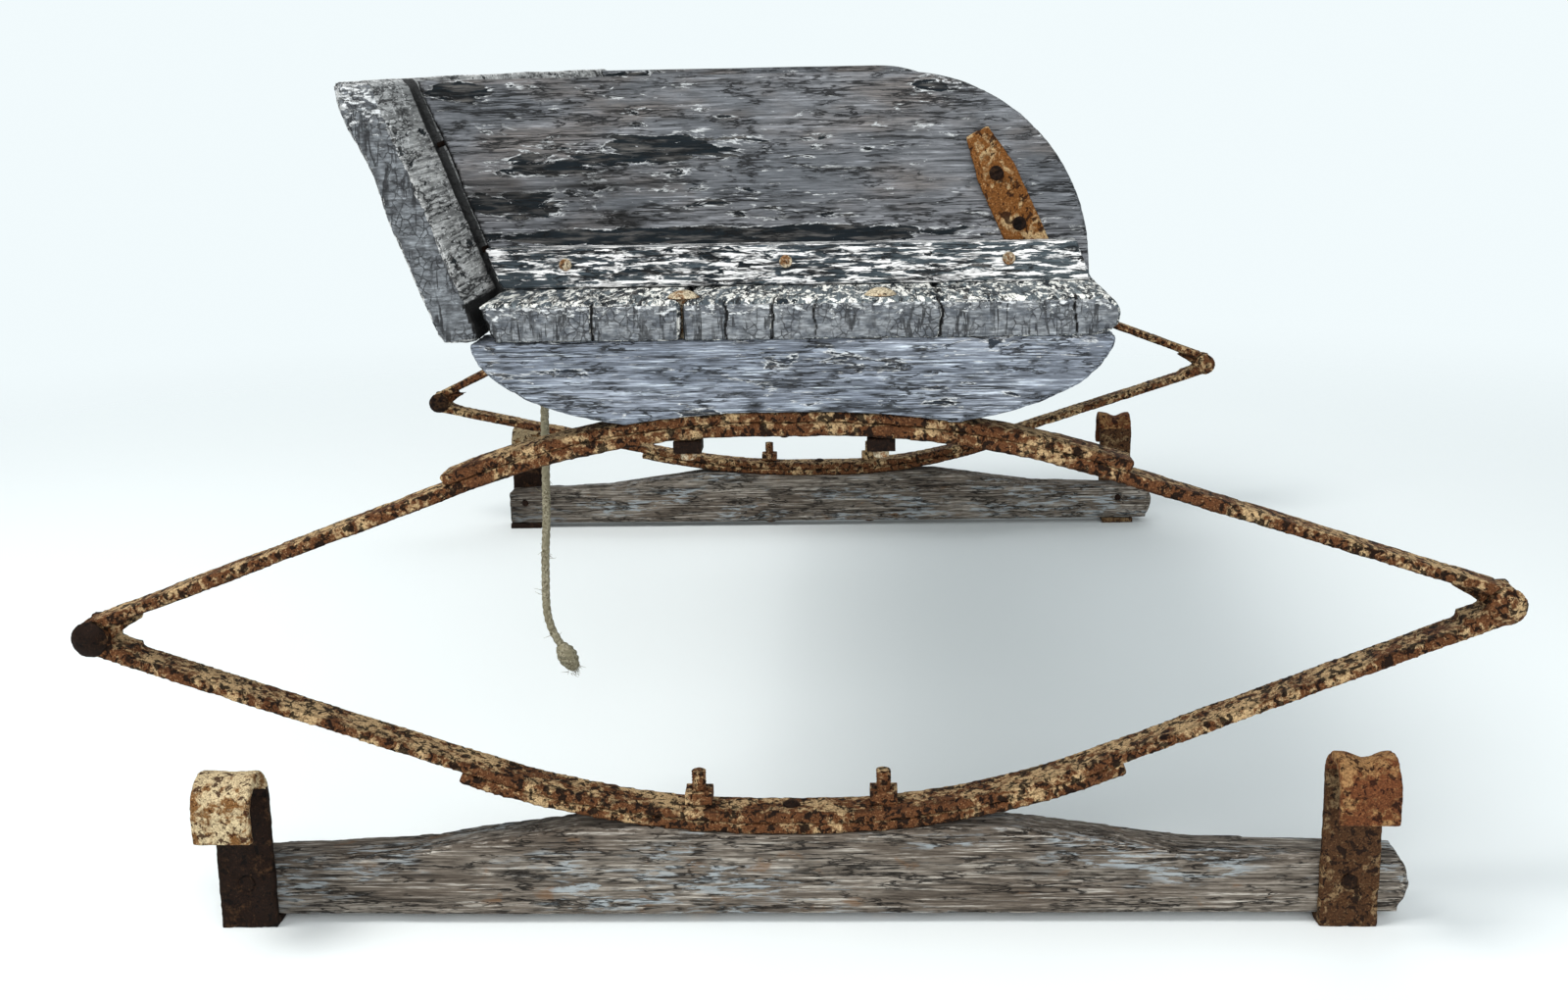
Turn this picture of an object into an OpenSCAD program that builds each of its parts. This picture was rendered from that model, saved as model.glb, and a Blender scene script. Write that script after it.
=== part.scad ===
// Spring seat for a horse-drawn wagon. A plank seat with a leaning back board and
// two end panels rides on two elliptic leaf springs, and each spring stands on an
// oak bar that hangs between the wagon's side boards on iron hooks.
// X runs from the back of the seat (-) to its front (+), Y along the seat from the
// sitter's right (-) to the left (+), and Z is up, from the feet of the hooks.

/* [Seat boards] */
// Length of the seat, from end to end
seat_len = 1050; // [950:10:1150]
// Thickness of the seat boards
seat_t = 23; // [18:1:30]
// Distance from the middle of the springs to the front edge of the seat
seat_front = 197; // [180:1:240]
// Distance from the middle of the springs to the back edge of the seat's top
seat_back = 178; // [165:1:200]
// Where the two boards meet, behind the middle of the springs
board_joint = 58; // [20:1:90]
// Gap between the two boards
board_gap = 1.4; // [0.6:0.1:3]

/* [Back board] */
// Thickness of the back board
back_t = 24; // [14:1:28]
// Height of the back board above the seat's underside
back_h = 152; // [120:1:220]
// Lean of the back board from upright, in degrees
back_lean = 20.5; // [8:0.5:26]
// Rounding of the back board's long edges
back_round = 4; // [1:0.5:7]
// Gap between the back board and what stands in front of it
back_gap = 5; // [3:0.5:10]

/* [End panels] */
// Thickness of an end panel
panel_t = 22; // [16:1:30]
// Height of an end panel above the seat
panel_h = 127; // [100:0.5:170]
// How far an end panel stands in from the end of the seat
panel_inset = 89; // [75:1:120]
// Radius of the round front corner
panel_corner = 118; // [40:1:130]
// How far the panel's front edge stands back from the seat's
panel_setback = 8; // [4:1:30]
// Height of the batten along the foot of the panel
strip_h = 25; // [18:1:34]
// Thickness of the batten
strip_t = 20; // [14:1:26]
// Slope of the batten's front end, measured along it
strip_slant = 10; // [0:1:20]

/* [Iron stays] */
// Width of the flat iron stay on an end panel
stay_w = 25; // [18:1:32]
// Width of the stay at its upper tip
stay_tip_w = 15; // [10:1:18]
// Thickness of the stay
stay_t = 4; // [2.5:0.5:6]
// Length of the stay above the seat
stay_len = 100; // [80:1:110]
// Lean of the stay, in degrees
stay_lean = 25; // [0:1:30]

/* [Springs] */
// Distance between the middles of the two springs
spring_spacing = 1012; // [900:4:1100]
// Half of the distance between the right spring's eyes
half_span = 432; // [400:2:480]
// How much further out each eye of the left spring stands: this spring has sagged
left_spread = 8; // [0:1:12]
// Height of a spring, over both of its leaf packs
spring_h = 269; // [240:1:300]
// Height of the right spring's eyes above the hooks' feet, on average
right_eye_z = 197; // [185:1:205]
// How far the right spring's front eye stands above that, and its rear eye below
right_eye_tilt = 7; // [0:1:15]
// Height of the left spring's eyes
left_eye_z = 167; // [160:1:205]
// How far the left spring's front eye stands above that, and its rear eye below
left_eye_tilt = 17; // [0:1:18]
// Width of every leaf
leaf_w = 25; // [20:1:32]
// Thickness of a main leaf
main_t = 8; // [6:0.5:10]
// Thickness of a short leaf
short_t = 7; // [5:0.5:9]
// Half length of a short leaf
short_half = 205; // [196:1:240]
// Half width of the curved middle of each leaf; beyond it the leaf is straight
bend_half = 190; // [150:1:195]
// Half width of the flat seat in the middle of that curve
flat_half = 14; // [10:1:25]
// Outer radius of a rolled eye
eye_r = 11; // [10:0.5:14]
// Radius of an eye pin
pin_r = 4.9; // [4:0.1:6]

/* [Bars and hooks] */
// Length of a bar
bar_len = 742; // [720:2:780]
// How far the bar stands forward of the middle of its spring
bar_forward = 8; // [-10:1:15]
// Thickness of a bar
bar_t = 30; // [26:1:40]
// Height of a bar under the middle of its spring
bar_seat_h = 53; // [40:1:70]
// Height of a bar at its two shoulders beside the spring
bar_peak_h = 58; // [56:1:80]
// Distance from the middle of the bar to a shoulder
bar_peak_x = 134; // [120:1:150]
// Height of a bar's thin end
bar_end_h = 36.5; // [34:0.5:56]
// Width of a hook's iron
hook_w = 36; // [28:1:44]
// Thickness of a hook's iron
hook_t = 6; // [4:0.5:8]
// Slot of a hook, which takes the wagon's side board
hook_slot = 30; // [24:1:40]
// Height of the rear hooks
rear_hook_h = 111; // [96:1:130]
// Height of the front hooks
front_hook_h = 121; // [96:1:130]
// Straight drop of a hook's lip below its bend
lip_drop = 18; // [8:1:24]
// Distance from the middle of the bar to the middle of a hook
hook_x = 345; // [320:1:350]

/* [Spring blocks] */
// Length of the block between the seat and a spring
block_len = 378; // [340:2:400]
// Thickness of a spring block
block_t = 38; // [32:1:46]
// Height of a spring block over the middle of its spring
block_h = 44; // [38:1:60]
// How far the block stands forward of the middle of the springs
block_forward = 5.5; // [-10:0.5:20]

/* [Fasteners] */
// Distance of a spring bolt from the middle of its spring
bolt_x = 58; // [50:1:75]
// Radius of the bolts' shanks
bolt_r = 4.75; // [4:0.05:6]
// Radius of the bolts' round heads
head_r = 10; // [8:0.5:12]
// Height of the bolts' round heads
head_h = 4.4; // [3:0.1:5]
// Width of a square nut
nut_w = 17; // [14:0.5:20]
// Thickness of a nut
nut_t = 8; // [6:0.5:10]
// Radius of a nail's shank
nail_r = 1.9; // [1.5:0.1:2.5]
// Radius of a nail's head
nail_head_r = 4; // [3:0.5:6]
// Radius of a wood screw's shank
screw_r = 2.4; // [1.8:0.1:3]
// Radius of a wood screw's head
screw_head_r = 4.6; // [4:0.1:6]

/* [Twine] */
// Diameter of the twine that hangs under the seat
twine_d = 6; // [4:0.5:8]

/* [Hidden] */

// Smoothness of the round faces
$fn = 64;
// Sides: the right spring is at -Y. Ends: the rear is at -X
RIGHT = -1;
LEFT = 1;
REAR = -1;
FRONT = 1;
// Smallest gap between two pieces that touch
touch = 0.05;
// Radial gap round a bolt in its hole, and round a pin in its eye
bolt_gap = 0.25;
pin_gap = 0.08;
// Gap on each side of the middle knuckle
knuckle_gap = 0.3;
// A cut runs this far past the face that it opens
past = 1;
// A cut that clears the whole object
far = 2000;

// Heights, from the hooks' feet up
bar_z = hook_t;
pack_z = bar_z + bar_seat_h;
lower_mid = pack_z + short_t + touch + main_t / 2;
pack_top = pack_z + spring_h;
upper_mid = pack_top - short_t - touch - main_t / 2;
seat_z = pack_top + block_h;
seat_top = seat_z + seat_t;

// Places along Y
spring_y = spring_spacing / 2;
panel_y = seat_len / 2 - panel_inset;
strip_y = panel_y + strip_t;

// Back board: its front face passes through this point at the seat's underside
slope = tan(back_lean);
face_x = -seat_back - (back_gap / cos(back_lean)) + seat_t * slope;
function face_at(z) = face_x - (z - seat_z) * slope;
function edge_at(z) = face_at(z) + back_gap / cos(back_lean);
// The panel and its batten
panel_front = seat_front - panel_setback;
strip_rear = edge_at(seat_top + strip_h) + 2;

// Height of a spring's eye
function eye_z(side, end) = side == RIGHT
  ? right_eye_z + end * right_eye_tilt : left_eye_z + end * left_eye_tilt;
// Rise of a main leaf from its middle to its eye
function rise(side, end, upper) = upper
  ? upper_mid - eye_z(side, end) : eye_z(side, end) - lower_mid;
// The straight ends run past an eye's centre at this distance, a little inside its rim
eye_rim = 0.3;
eye_offset = eye_r - main_t / 2 - eye_rim;
// Distance of a spring's eyes from its middle
function eye_x(side) = side == RIGHT ? half_span : half_span + left_spread;
// Flats along the curve of half a leaf
bend_steps = 24;
// Half a leaf, from the edge of its flat seat: the curve, then the straight end
bend_run = bend_half - flat_half;
function end_run(side) = eye_x(side) - bend_half;
// Tangent of half the angle through which a leaf bends to rise by h, found in a few steps
function half_tan(side, h, t, steps) = steps == 0 ? t : half_tan(side, h,
  (h - eye_offset * (1 + t * t) / (1 - t * t))
    / (bend_run + 2 * end_run(side) / (1 - t * t)), steps - 1);
function bend(side, h) = 2 * atan(half_tan(side, h, 0.2, 8));
function radius(side, h) = bend_run / sin(bend(side, h));
// Length of the straight end of a main leaf, up to its eye
function straight(side, h) = end_run(side) * cos(bend(side, h))
  + (h - radius(side, h) * (1 - cos(bend(side, h)))) * sin(bend(side, h));
// How far the hollow face of a main leaf has risen at a distance x from its middle
function hollow_rise(side, h, x) = radius(side, h)
  - sqrt(pow(radius(side, h) - main_t / 2, 2) - pow(x - flat_half, 2));
// A nut sits clear of the curved leaf under its outer corner
function nut_rise(side, upper) = max(
  hollow_rise(side, rise(side, REAR, upper), bolt_x + nut_w / 2),
  hollow_rise(side, rise(side, FRONT, upper), bolt_x + nut_w / 2)) + touch;

// Superellipse of a spring block's underside
block_x_power = 3.2;
block_z_power = 1.8;
block_depth = block_h + 10;
block_steps = 14;
function block_z(u) = seat_z
  - block_depth * pow(1 - pow(abs(u), block_x_power), 1 / block_z_power);

// Nails and screws: their places along the seat
strip_nail_z = strip_h * 0.6;
strip_nail_head_t = 2;
strip_nail_len = strip_t + 14;
panel_screw_x = [-100, 35, 105];
panel_screw_len = seat_t + 30;
back_nail_z = [25, 95];
back_nail_len = 60;
stay_screw_at = [0.38, 0.72];
stay_screw_len = 18;
stay_foot_x = seat_front - 36;
screw_slot = 1.2;
// The batten's front nail stands just behind the stay
nail_clear = 1;
front_nail_x = stay_foot_x - strip_nail_z * tan(stay_lean) - stay_w / 2 / cos(stay_lean)
  - nail_r - nail_clear;
strip_nail_x = [-135, 1, front_nail_x];

// Rivets
rivet_r = 3.5;
rivet_head_r = 6;
rivet_head_h = 3;
hook_rivet_z = bar_z + 24;

// Twine: it hangs from a staple, then bends away near its end
staple_r = 1.4;
staple_half = 7;
staple_drop = 9;
staple_depth = 12;
twine_x = -170;
twine_y = -356;
knot_h = 12;
knot_r = 7;
end_knot_h = 22;
end_knot_r = 7.5;
twine_sides = 8;
// Route, relative to the point under the top knot
twine_route = [
  [0, 0, 0], [0, 0, -14], [0.5, -0.5, -28], [0.5, -1, -42], [0, -1, -56],
  [-0.5, -0.5, -70], [-1, 0, -84], [-1.5, 0.5, -98], [-2, 0.5, -112], [-2.5, 0.5, -126],
  [-3.5, 0, -140], [-4.5, -0.5, -154], [-5, -0.5, -168], [-5.5, -0.5, -182],
  [-5, -0.5, -195], [-2, -0.5, -207], [3, -0.5, -217]
];
twine_top = seat_z - staple_drop - staple_r - touch - knot_h;

wood = "#8b919c";
bare_wood = "#8a8078";
iron = "#8a5a35";
dark_iron = "#5a3a28";
string = "#9c9478";

// ---- profiles in the X-Z plane ----

// Flats round a rounded corner of a polygon, between its neighbours a and b
corner_steps = 6;
function unit(v) = v / norm(v);
function corner_arc(a, p, b, r) = let (
    u = unit(a - p), w = unit(b - p), half = acos(u * w) / 2,
    centre = p + unit(u + w) * r / sin(half),
    first = p + u * r / tan(half) - centre, last = p + w * r / tan(half) - centre
  ) [for (i = [0 : corner_steps]) let (t = i / corner_steps)
    centre + r * unit(first * (1 - t) + last * t)];
function rounded(list, r) = let (n = len(list))
  [for (i = [0 : n - 1]) each corner_arc(list[(i + n - 1) % n], list[i], list[(i + 1) % n], r)];

// Draws an X-Z profile as a slab from y_low to y_high
module slab(y_low, y_high) {
  translate([0, y_high, 0]) rotate([90, 0, 0]) linear_extrude(y_high - y_low) children();
}

// Points of half a leaf, in its own plane (outward, towards the eye), at a distance
// outside its centre line: the curve, then the straight end
function half_line(side, h, out, len) = let (b = bend(side, h), r = radius(side, h)) concat(
  [for (i = [0 : bend_steps]) let (a = b * i / bend_steps)
    [(r + out) * sin(a), r - (r + out) * cos(a)]],
  len > 0 ? [[(r + out) * sin(b) + len * cos(b), r - (r + out) * cos(b) + len * sin(b)]] : []
);
function end_line(side, end, upper, out, len) = let (h = rise(side, end, upper))
  [for (p = half_line(side, h, out, len == undef ? straight(side, h) : len))
    [end * (flat_half + p[0]), upper ? upper_mid - p[1] : lower_mid + p[1]]];
function backwards(list) = [for (i = [len(list) - 1 : -1 : 0]) list[i]];
// A line along a whole leaf, from its rear end to its front end
function leaf_line(side, upper, out, len) = concat(
  backwards(end_line(side, REAR, upper, out, len)), end_line(side, FRONT, upper, out, len));

module leaf_profile(side, upper, inner, outer, len) {
  polygon(concat(
    leaf_line(side, upper, outer, len), backwards(leaf_line(side, upper, inner, len))));
}

module main_profile(side, upper) {
  leaf_profile(side, upper, -main_t / 2, main_t / 2, undef);
  for (end = [REAR, FRONT]) translate([end * eye_x(side), eye_z(side, end)]) circle(eye_r);
}

module short_profile(side, upper) {
  inner = main_t / 2 + touch;
  leaf_profile(side, upper, inner, inner + short_t, short_half - bend_half);
}

// What a saddle in the wood leaves open: a leaf pack and everything on its hollow side
module saddle_space(side, upper) {
  line = leaf_line(side, upper, main_t / 2 + short_t + 2 * touch, 0);
  hollow = upper ? -far : far;
  polygon(concat(line, [[line[len(line) - 1][0], hollow], [line[0][0], hollow]]));
}

// ---- fasteners ----

module up_rod(x, y, z_low, z_high, r) {
  translate([x, y, z_low]) cylinder(h = z_high - z_low, r = r);
}

// A domed head whose flat face is at z = 0, and whose dome rises to h
module dome(r, h) {
  ball = (r * r + h * h) / (2 * h);
  rotate_extrude() intersection() {
    translate([0, h - ball]) circle(ball, $fn = 128);
    square([r, h]);
  }
}

module spring_bolts(side) {
  for (x = [-bolt_x, bolt_x]) translate([x, side * spring_y, 0]) children();
}

module bolt_holes(side, z_low, z_high) {
  spring_bolts(side) up_rod(0, 0, z_low, z_high, bolt_r + bolt_gap);
}

module rivet_hole(side) {
  up_rod(0, side * spring_y, -past, far, rivet_r + touch);
}

module square_nut(z) {
  translate([0, 0, z]) difference() {
    translate([-nut_w / 2, -nut_w / 2, 0]) cube([nut_w, nut_w, nut_t]);
    translate([0, 0, -past]) cylinder(h = nut_t + 2 * past, r = bolt_r + touch);
  }
}

// ---- wooden seat ----

module seat_profile() {
  nose = seat_t / 2;
  union() {
    polygon([
      [edge_at(seat_top), seat_top], [edge_at(seat_z), seat_z],
      [seat_front - nose, seat_z], [seat_front - nose, seat_top]
    ]);
    translate([seat_front - nose, seat_z + nose]) circle(nose);
  }
}

module seat_board(from_x, to_x) {
  difference() {
    slab(-seat_len / 2, seat_len / 2) intersection() {
      seat_profile();
      translate([from_x, seat_z - past]) square([to_x - from_x, seat_t + 2 * past]);
    }
    for (side = [RIGHT, LEFT]) bolt_holes(side, seat_z - past, seat_top + past);
    panel_screw_set(touch);
    staple(touch);
  }
}

module seat_board_rear() {
  color(wood) seat_board(-far, -board_joint - board_gap / 2);
}

module seat_board_front() {
  color(wood) seat_board(-board_joint + board_gap / 2, far);
}

// The back board's own plane: up its slope, with its front face at x = 0
module on_slope() {
  translate([face_at(seat_z), 0, seat_z]) rotate([0, -back_lean, 0]) children();
}

module back_board() {
  top_z = seat_z + back_h;
  run = back_t / cos(back_lean);
  color(wood) difference() {
    slab(-seat_len / 2, seat_len / 2) polygon(rounded([
      [face_at(seat_z), seat_z], [face_at(top_z), top_z],
      [face_at(top_z) - run, top_z], [face_at(seat_z) - run, seat_z]
    ], back_round));
    back_nail_set(touch);
  }
}

// Nails through the back board into the rear edges of the end panels
module back_nail_set(gap) {
  for (side = [RIGHT, LEFT], z = back_nail_z)
    on_slope() translate([-back_t - touch, side * (panel_y - panel_t / 2), seat_t + z]) rotate([0, 90, 0]) {
      cylinder(h = back_nail_len + gap, r = nail_r + gap);
      translate([0, 0, -gap]) cylinder(h = 1.6 + 2 * gap, r = nail_head_r + gap);
    }
}

module back_nails() {
  color(dark_iron) back_nail_set(0);
}

module panel_profile() {
  corner_r = min(panel_corner, panel_h - 2 * touch);
  corner_x = panel_front - corner_r;
  corner_z = seat_top + panel_h - corner_r;
  difference() {
    polygon([
      [edge_at(seat_top), seat_top + touch], [edge_at(seat_top + panel_h), seat_top + panel_h],
      [panel_front, seat_top + panel_h], [panel_front, seat_top + touch]
    ]);
    translate([corner_x, corner_z]) difference() {
      square(corner_r + past);
      circle(corner_r, $fn = 128);
    }
  }
}

module side_slab(side, y_in, y_out) {
  slab(side > 0 ? y_in : -y_out, side > 0 ? y_out : -y_in) children();
}

module end_panel(side) {
  color(wood) difference() {
    side_slab(side, panel_y - panel_t, panel_y) panel_profile();
    back_nail_set(touch);
    panel_screw_set(touch);
    strip_nail_set(touch);
    stay_screw_set(touch);
  }
}

module right_end_panel() { end_panel(RIGHT); }
module left_end_panel() { end_panel(LEFT); }

// Screws up through the seat into the feet of the end panels
module panel_screw_set(gap) {
  for (side = [RIGHT, LEFT], x = panel_screw_x)
    translate([x, side * (panel_y - panel_t / 2), seat_z]) {
      translate([0, 0, -gap]) cylinder(h = panel_screw_len + 2 * gap, r = screw_r + gap);
      translate([0, 0, -gap])
        cylinder(h = screw_head_r - screw_r + gap, r1 = screw_head_r + 2 * gap, r2 = screw_r + gap);
    }
}

module panel_screws() {
  color(iron) panel_screw_set(0);
}

module panel_strip(side) {
  color(wood) difference() {
    side_slab(side, panel_y + touch, strip_y) polygon([
      [strip_rear + strip_h * slope, seat_top + touch], [strip_rear, seat_top + strip_h],
      [panel_front - strip_slant, seat_top + strip_h], [panel_front, seat_top + touch]
    ]);
    strip_nail_set(touch);
    // a shallow notch for the stay, which runs behind the batten
    stay_body(side, stay_w + 2 * past, stay_w, stay_t + touch, seat_top - past);
  }
}

module right_panel_strip() { panel_strip(RIGHT); }
module left_panel_strip() { panel_strip(LEFT); }

module strip_nail_set(gap) {
  for (side = [RIGHT, LEFT], x = strip_nail_x)
    translate([x, side * strip_y, seat_top + strip_nail_z]) rotate([side * 90, 0, 0]) {
      translate([0, 0, -strip_nail_head_t])
        cylinder(h = strip_nail_head_t + strip_nail_len + gap, r = nail_r + gap);
      if (gap == 0)
        translate([0, 0, -touch - strip_nail_head_t]) cylinder(h = strip_nail_head_t, r = nail_head_r);
    }
}

module strip_nails() {
  color(iron) strip_nail_set(0);
}

// The stay leans forward down the panel's outer face, and narrows to its tip
module stay_place(side) {
  translate([stay_foot_x, side * (panel_y + touch), seat_top]) rotate([0, -stay_lean, 0]) children();
}

module stay_body(side, foot_w, tip_w, thick, low_z) {
  shoulder = stay_len * 0.72;
  intersection() {
    stay_place(side) side_slab(side, 0, thick) polygon([
      [-foot_w / 2, -far / 20], [foot_w / 2, -far / 20], [foot_w / 2, shoulder], [tip_w / 2, stay_len],
      [-tip_w / 2, stay_len], [-foot_w / 2, shoulder]
    ]);
    translate([-far / 2, -far / 2, low_z]) cube(far);
  }
}

module stay(side) {
  color(iron) difference() {
    stay_body(side, stay_w, stay_tip_w, stay_t, seat_top + touch);
    stay_screw_set(touch);
  }
}

module right_stay() { stay(RIGHT); }
module left_stay() { stay(LEFT); }

module stay_screw_set(gap) {
  for (side = [RIGHT, LEFT], at = stay_screw_at)
    stay_place(side) translate([0, side * stay_t, at * stay_len]) rotate([side * 90, 0, 0]) difference() {
      union() {
        cylinder(h = stay_screw_len + gap, r = screw_r + gap);
        translate([0, 0, -1.4]) cylinder(h = 1.4, r = gap > 0 ? screw_r : screw_head_r);
      }
      if (gap == 0) translate([-far / 2, -screw_slot / 2, -2]) cube([far, screw_slot, 1.4]);
    }
}

module stay_screws() {
  color(dark_iron) stay_screw_set(0);
}

module spring_block(side) {
  color(wood) difference() {
    side_slab(side, spring_y - block_t / 2, spring_y + block_t / 2) difference() {
      polygon([for (i = [-block_steps : block_steps])
        let (u = sin(90 * i / block_steps))
        [block_forward + u * block_len / 2, block_z(u) - touch]]);
      saddle_space(side, true);
    }
    bolt_holes(side, 0, far);
    up_rod(0, side * spring_y, 0, pack_top + rivet_head_h + past, rivet_head_r + past);
  }
}

module right_spring_block() { spring_block(RIGHT); }
module left_spring_block() { spring_block(LEFT); }

// Round-headed bolts down through the seat, the block and the upper leaves
seat_bolt_tail = 5;
function seat_nut_z(side) = upper_mid - nut_rise(side, true) - nut_t;

module seat_bolts() {
  color(iron) for (side = [RIGHT, LEFT]) spring_bolts(side) {
    up_rod(0, 0, seat_nut_z(side) - seat_bolt_tail, seat_top + touch + head_h / 2, bolt_r);
    translate([0, 0, seat_top + touch]) dome(head_r, head_h);
  }
}

module seat_bolt_nuts() {
  color(dark_iron) for (side = [RIGHT, LEFT]) spring_bolts(side) square_nut(seat_nut_z(side));
}

// ---- leaf springs ----

module eye_hole(side, end) {
  translate([end * eye_x(side), side * spring_y + leaf_w, eye_z(side, end)])
    rotate([90, 0, 0]) cylinder(h = 2 * leaf_w, r = pin_r + pin_gap);
}

// A drum round an eye, from one Y to another, that makes room for the other leaf's knuckle
module knuckle_room(side, end, y_low, y_high) {
  translate([end * eye_x(side), side * spring_y + y_high, eye_z(side, end)])
    rotate([90, 0, 0]) cylinder(h = y_high - y_low, r = eye_r + knuckle_gap);
}

knuckle_half = leaf_w / 6;

module main_leaf(side, upper) {
  color(iron) difference() {
    slab(side * spring_y - leaf_w / 2, side * spring_y + leaf_w / 2)
      main_profile(side, upper);
    for (end = [REAR, FRONT]) {
      eye_hole(side, end);
      if (upper) {
        knuckle_room(side, end, knuckle_half, leaf_w);
        knuckle_room(side, end, -leaf_w, -knuckle_half);
      } else {
        knuckle_room(side, end, -knuckle_half - knuckle_gap, knuckle_half + knuckle_gap);
      }
    }
    bolt_holes(side, 0, far);
    rivet_hole(side);
  }
}

module short_leaf(side, upper) {
  color(iron) difference() {
    slab(side * spring_y - leaf_w / 2, side * spring_y + leaf_w / 2)
      short_profile(side, upper);
    bolt_holes(side, 0, far);
    rivet_hole(side);
  }
}

module right_upper_main_leaf() { main_leaf(RIGHT, true); }
module right_upper_short_leaf() { short_leaf(RIGHT, true); }
module left_upper_main_leaf() { main_leaf(LEFT, true); }
module left_upper_short_leaf() { short_leaf(LEFT, true); }
module right_lower_main_leaf() { main_leaf(RIGHT, false); }
module right_lower_short_leaf() { short_leaf(RIGHT, false); }
module left_lower_main_leaf() { main_leaf(LEFT, false); }
module left_lower_short_leaf() { short_leaf(LEFT, false); }

// The rivet through the middle of a leaf pack, with a head on each side
module leaf_rivet(side, z_low) {
  pack_t = main_t + short_t + touch;
  translate([0, side * spring_y, z_low]) {
    translate([0, 0, -touch]) cylinder(h = pack_t + 2 * touch, r = rivet_r);
    translate([0, 0, pack_t + touch]) dome(rivet_head_r, rivet_head_h);
    translate([0, 0, -touch]) mirror([0, 0, 1]) dome(rivet_head_r, rivet_head_h);
  }
}

module upper_leaf_rivets() {
  color(dark_iron) for (side = [RIGHT, LEFT])
    leaf_rivet(side, upper_mid - main_t / 2);
}

module right_lower_rivet() { color(dark_iron) leaf_rivet(RIGHT, pack_z); }
module left_lower_rivet() { color(dark_iron) leaf_rivet(LEFT, pack_z); }

// ---- eye pins ----

pin_nut_t = 7;
pin_tail = 3;
pin_washer_gap = 0.2;
pin_head_r = eye_r + 1;
pin_head_h = 5;

// The eye's own axis: +Z points to the right-hand end of the seat
module pin_place(side, end) {
  translate([end * eye_x(side), side * spring_y, eye_z(side, end)])
    rotate([90, 0, 0]) children();
}

module eye_pin(side, end) {
  out = leaf_w / 2 + pin_washer_gap;
  color(dark_iron) pin_place(side, end) {
    translate([0, 0, -out - pin_nut_t - pin_tail]) cylinder(h = 2 * out + pin_nut_t + pin_tail, r = pin_r);
    translate([0, 0, out]) dome(pin_head_r, pin_head_h);
  }
}

module eye_nuts(side) {
  color(dark_iron) for (end = [REAR, FRONT]) pin_place(side, end)
    translate([0, 0, -leaf_w / 2 - pin_washer_gap - pin_nut_t]) difference() {
      translate([-nut_w / 2, -nut_w / 2, 0]) cube([nut_w, nut_w, pin_nut_t]);
      translate([0, 0, -past]) cylinder(h = pin_nut_t + 2 * past, r = pin_r + touch);
    }
}

module right_rear_eye_pin() { eye_pin(RIGHT, REAR); }
module right_front_eye_pin() { eye_pin(RIGHT, FRONT); }
module left_rear_eye_pin() { eye_pin(LEFT, REAR); }
module left_front_eye_pin() { eye_pin(LEFT, FRONT); }
module right_eye_nuts() { eye_nuts(RIGHT); }
module left_eye_nuts() { eye_nuts(LEFT); }

// ---- bars and hooks ----

// Where a bar's shoulder runs out into its thin end
knee_run = 110;
knee_drop = 5;

module bar_profile() {
  front_x = bar_forward + bar_len / 2;
  rear_x = bar_forward - bar_len / 2;
  knee_x = bar_peak_x + knee_run;
  knee_z = bar_z + bar_end_h + knee_drop;
  peak_z = bar_z + bar_peak_h;
  end_z = bar_z + bar_end_h;
  polygon([
    [front_x, bar_z], [rear_x, bar_z], [rear_x, end_z], [-knee_x, knee_z], [-bar_peak_x, peak_z],
    [bar_peak_x, peak_z], [knee_x, knee_z], [front_x, end_z]
  ]);
}

module bar(side) {
  color(bare_wood) difference() {
    side_slab(side, spring_y - bar_t / 2, spring_y + bar_t / 2) difference() {
      bar_profile();
      saddle_space(side, false);
    }
    bolt_holes(side, 0, far);
    // room for the head of the leaf rivet
    up_rod(0, side * spring_y, pack_z - rivet_head_h - past, far, rivet_head_r + past);
    hook_rivet_set(side, touch);
  }
}

module right_bar() { bar(RIGHT); }
module left_bar() { bar(LEFT); }

// A hook's own plane: Y runs out from the bar's outer face
module hook_profile(h) {
  bend_z = h - hook_t - hook_slot / 2;
  mid = hook_t + hook_slot / 2;
  union() {
    translate([-bar_t, 0]) square([bar_t + hook_t, hook_t - touch]);
    translate([touch, 0]) square([hook_t - touch, bend_z]);
    translate([hook_t + hook_slot, bend_z - lip_drop]) square([hook_t, lip_drop]);
    translate([mid, bend_z]) intersection() {
      difference() {
        circle(hook_slot / 2 + hook_t - touch);
        circle(hook_slot / 2);
      }
      translate([-far / 2, 0]) square([far, far / 2]);
    }
  }
}

module hook(side, end) {
  color(iron) difference() {
    translate([end * hook_x - hook_w / 2, side * (spring_y + bar_t / 2), 0])
      mirror([0, side == RIGHT ? 1 : 0, 0])
        rotate([90, 0, 90]) linear_extrude(hook_w) hook_profile(end == REAR ? rear_hook_h : front_hook_h);
    hook_rivet_set(side, touch);
  }
}

module right_rear_hook() { hook(RIGHT, REAR); }
module right_front_hook() { hook(RIGHT, FRONT); }
module left_rear_hook() { hook(LEFT, REAR); }
module left_front_hook() { hook(LEFT, FRONT); }

// Flush rivets through the hooks' straps and the bar
module hook_rivet_set(side, gap) {
  sink = rivet_head_r - rivet_r;
  for (end = [REAR, FRONT])
    translate([end * hook_x, side * (spring_y + bar_t / 2 + hook_t), hook_rivet_z])
      rotate([side * 90, 0, 0]) {
        translate([0, 0, -gap]) cylinder(h = bar_t + hook_t + 2 * gap, r = rivet_r + gap);
        translate([0, 0, -gap]) cylinder(h = sink + gap, r1 = rivet_head_r + gap, r2 = rivet_r + gap);
      }
}

module right_hook_rivets() { color(dark_iron) hook_rivet_set(RIGHT, 0); }
module left_hook_rivets() { color(dark_iron) hook_rivet_set(LEFT, 0); }

// Bolts up through the bar and the lower leaves, with their nuts on top
bar_bolt_tail = 12.5;
function bar_nut_z(side) = lower_mid + nut_rise(side, false);

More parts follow.
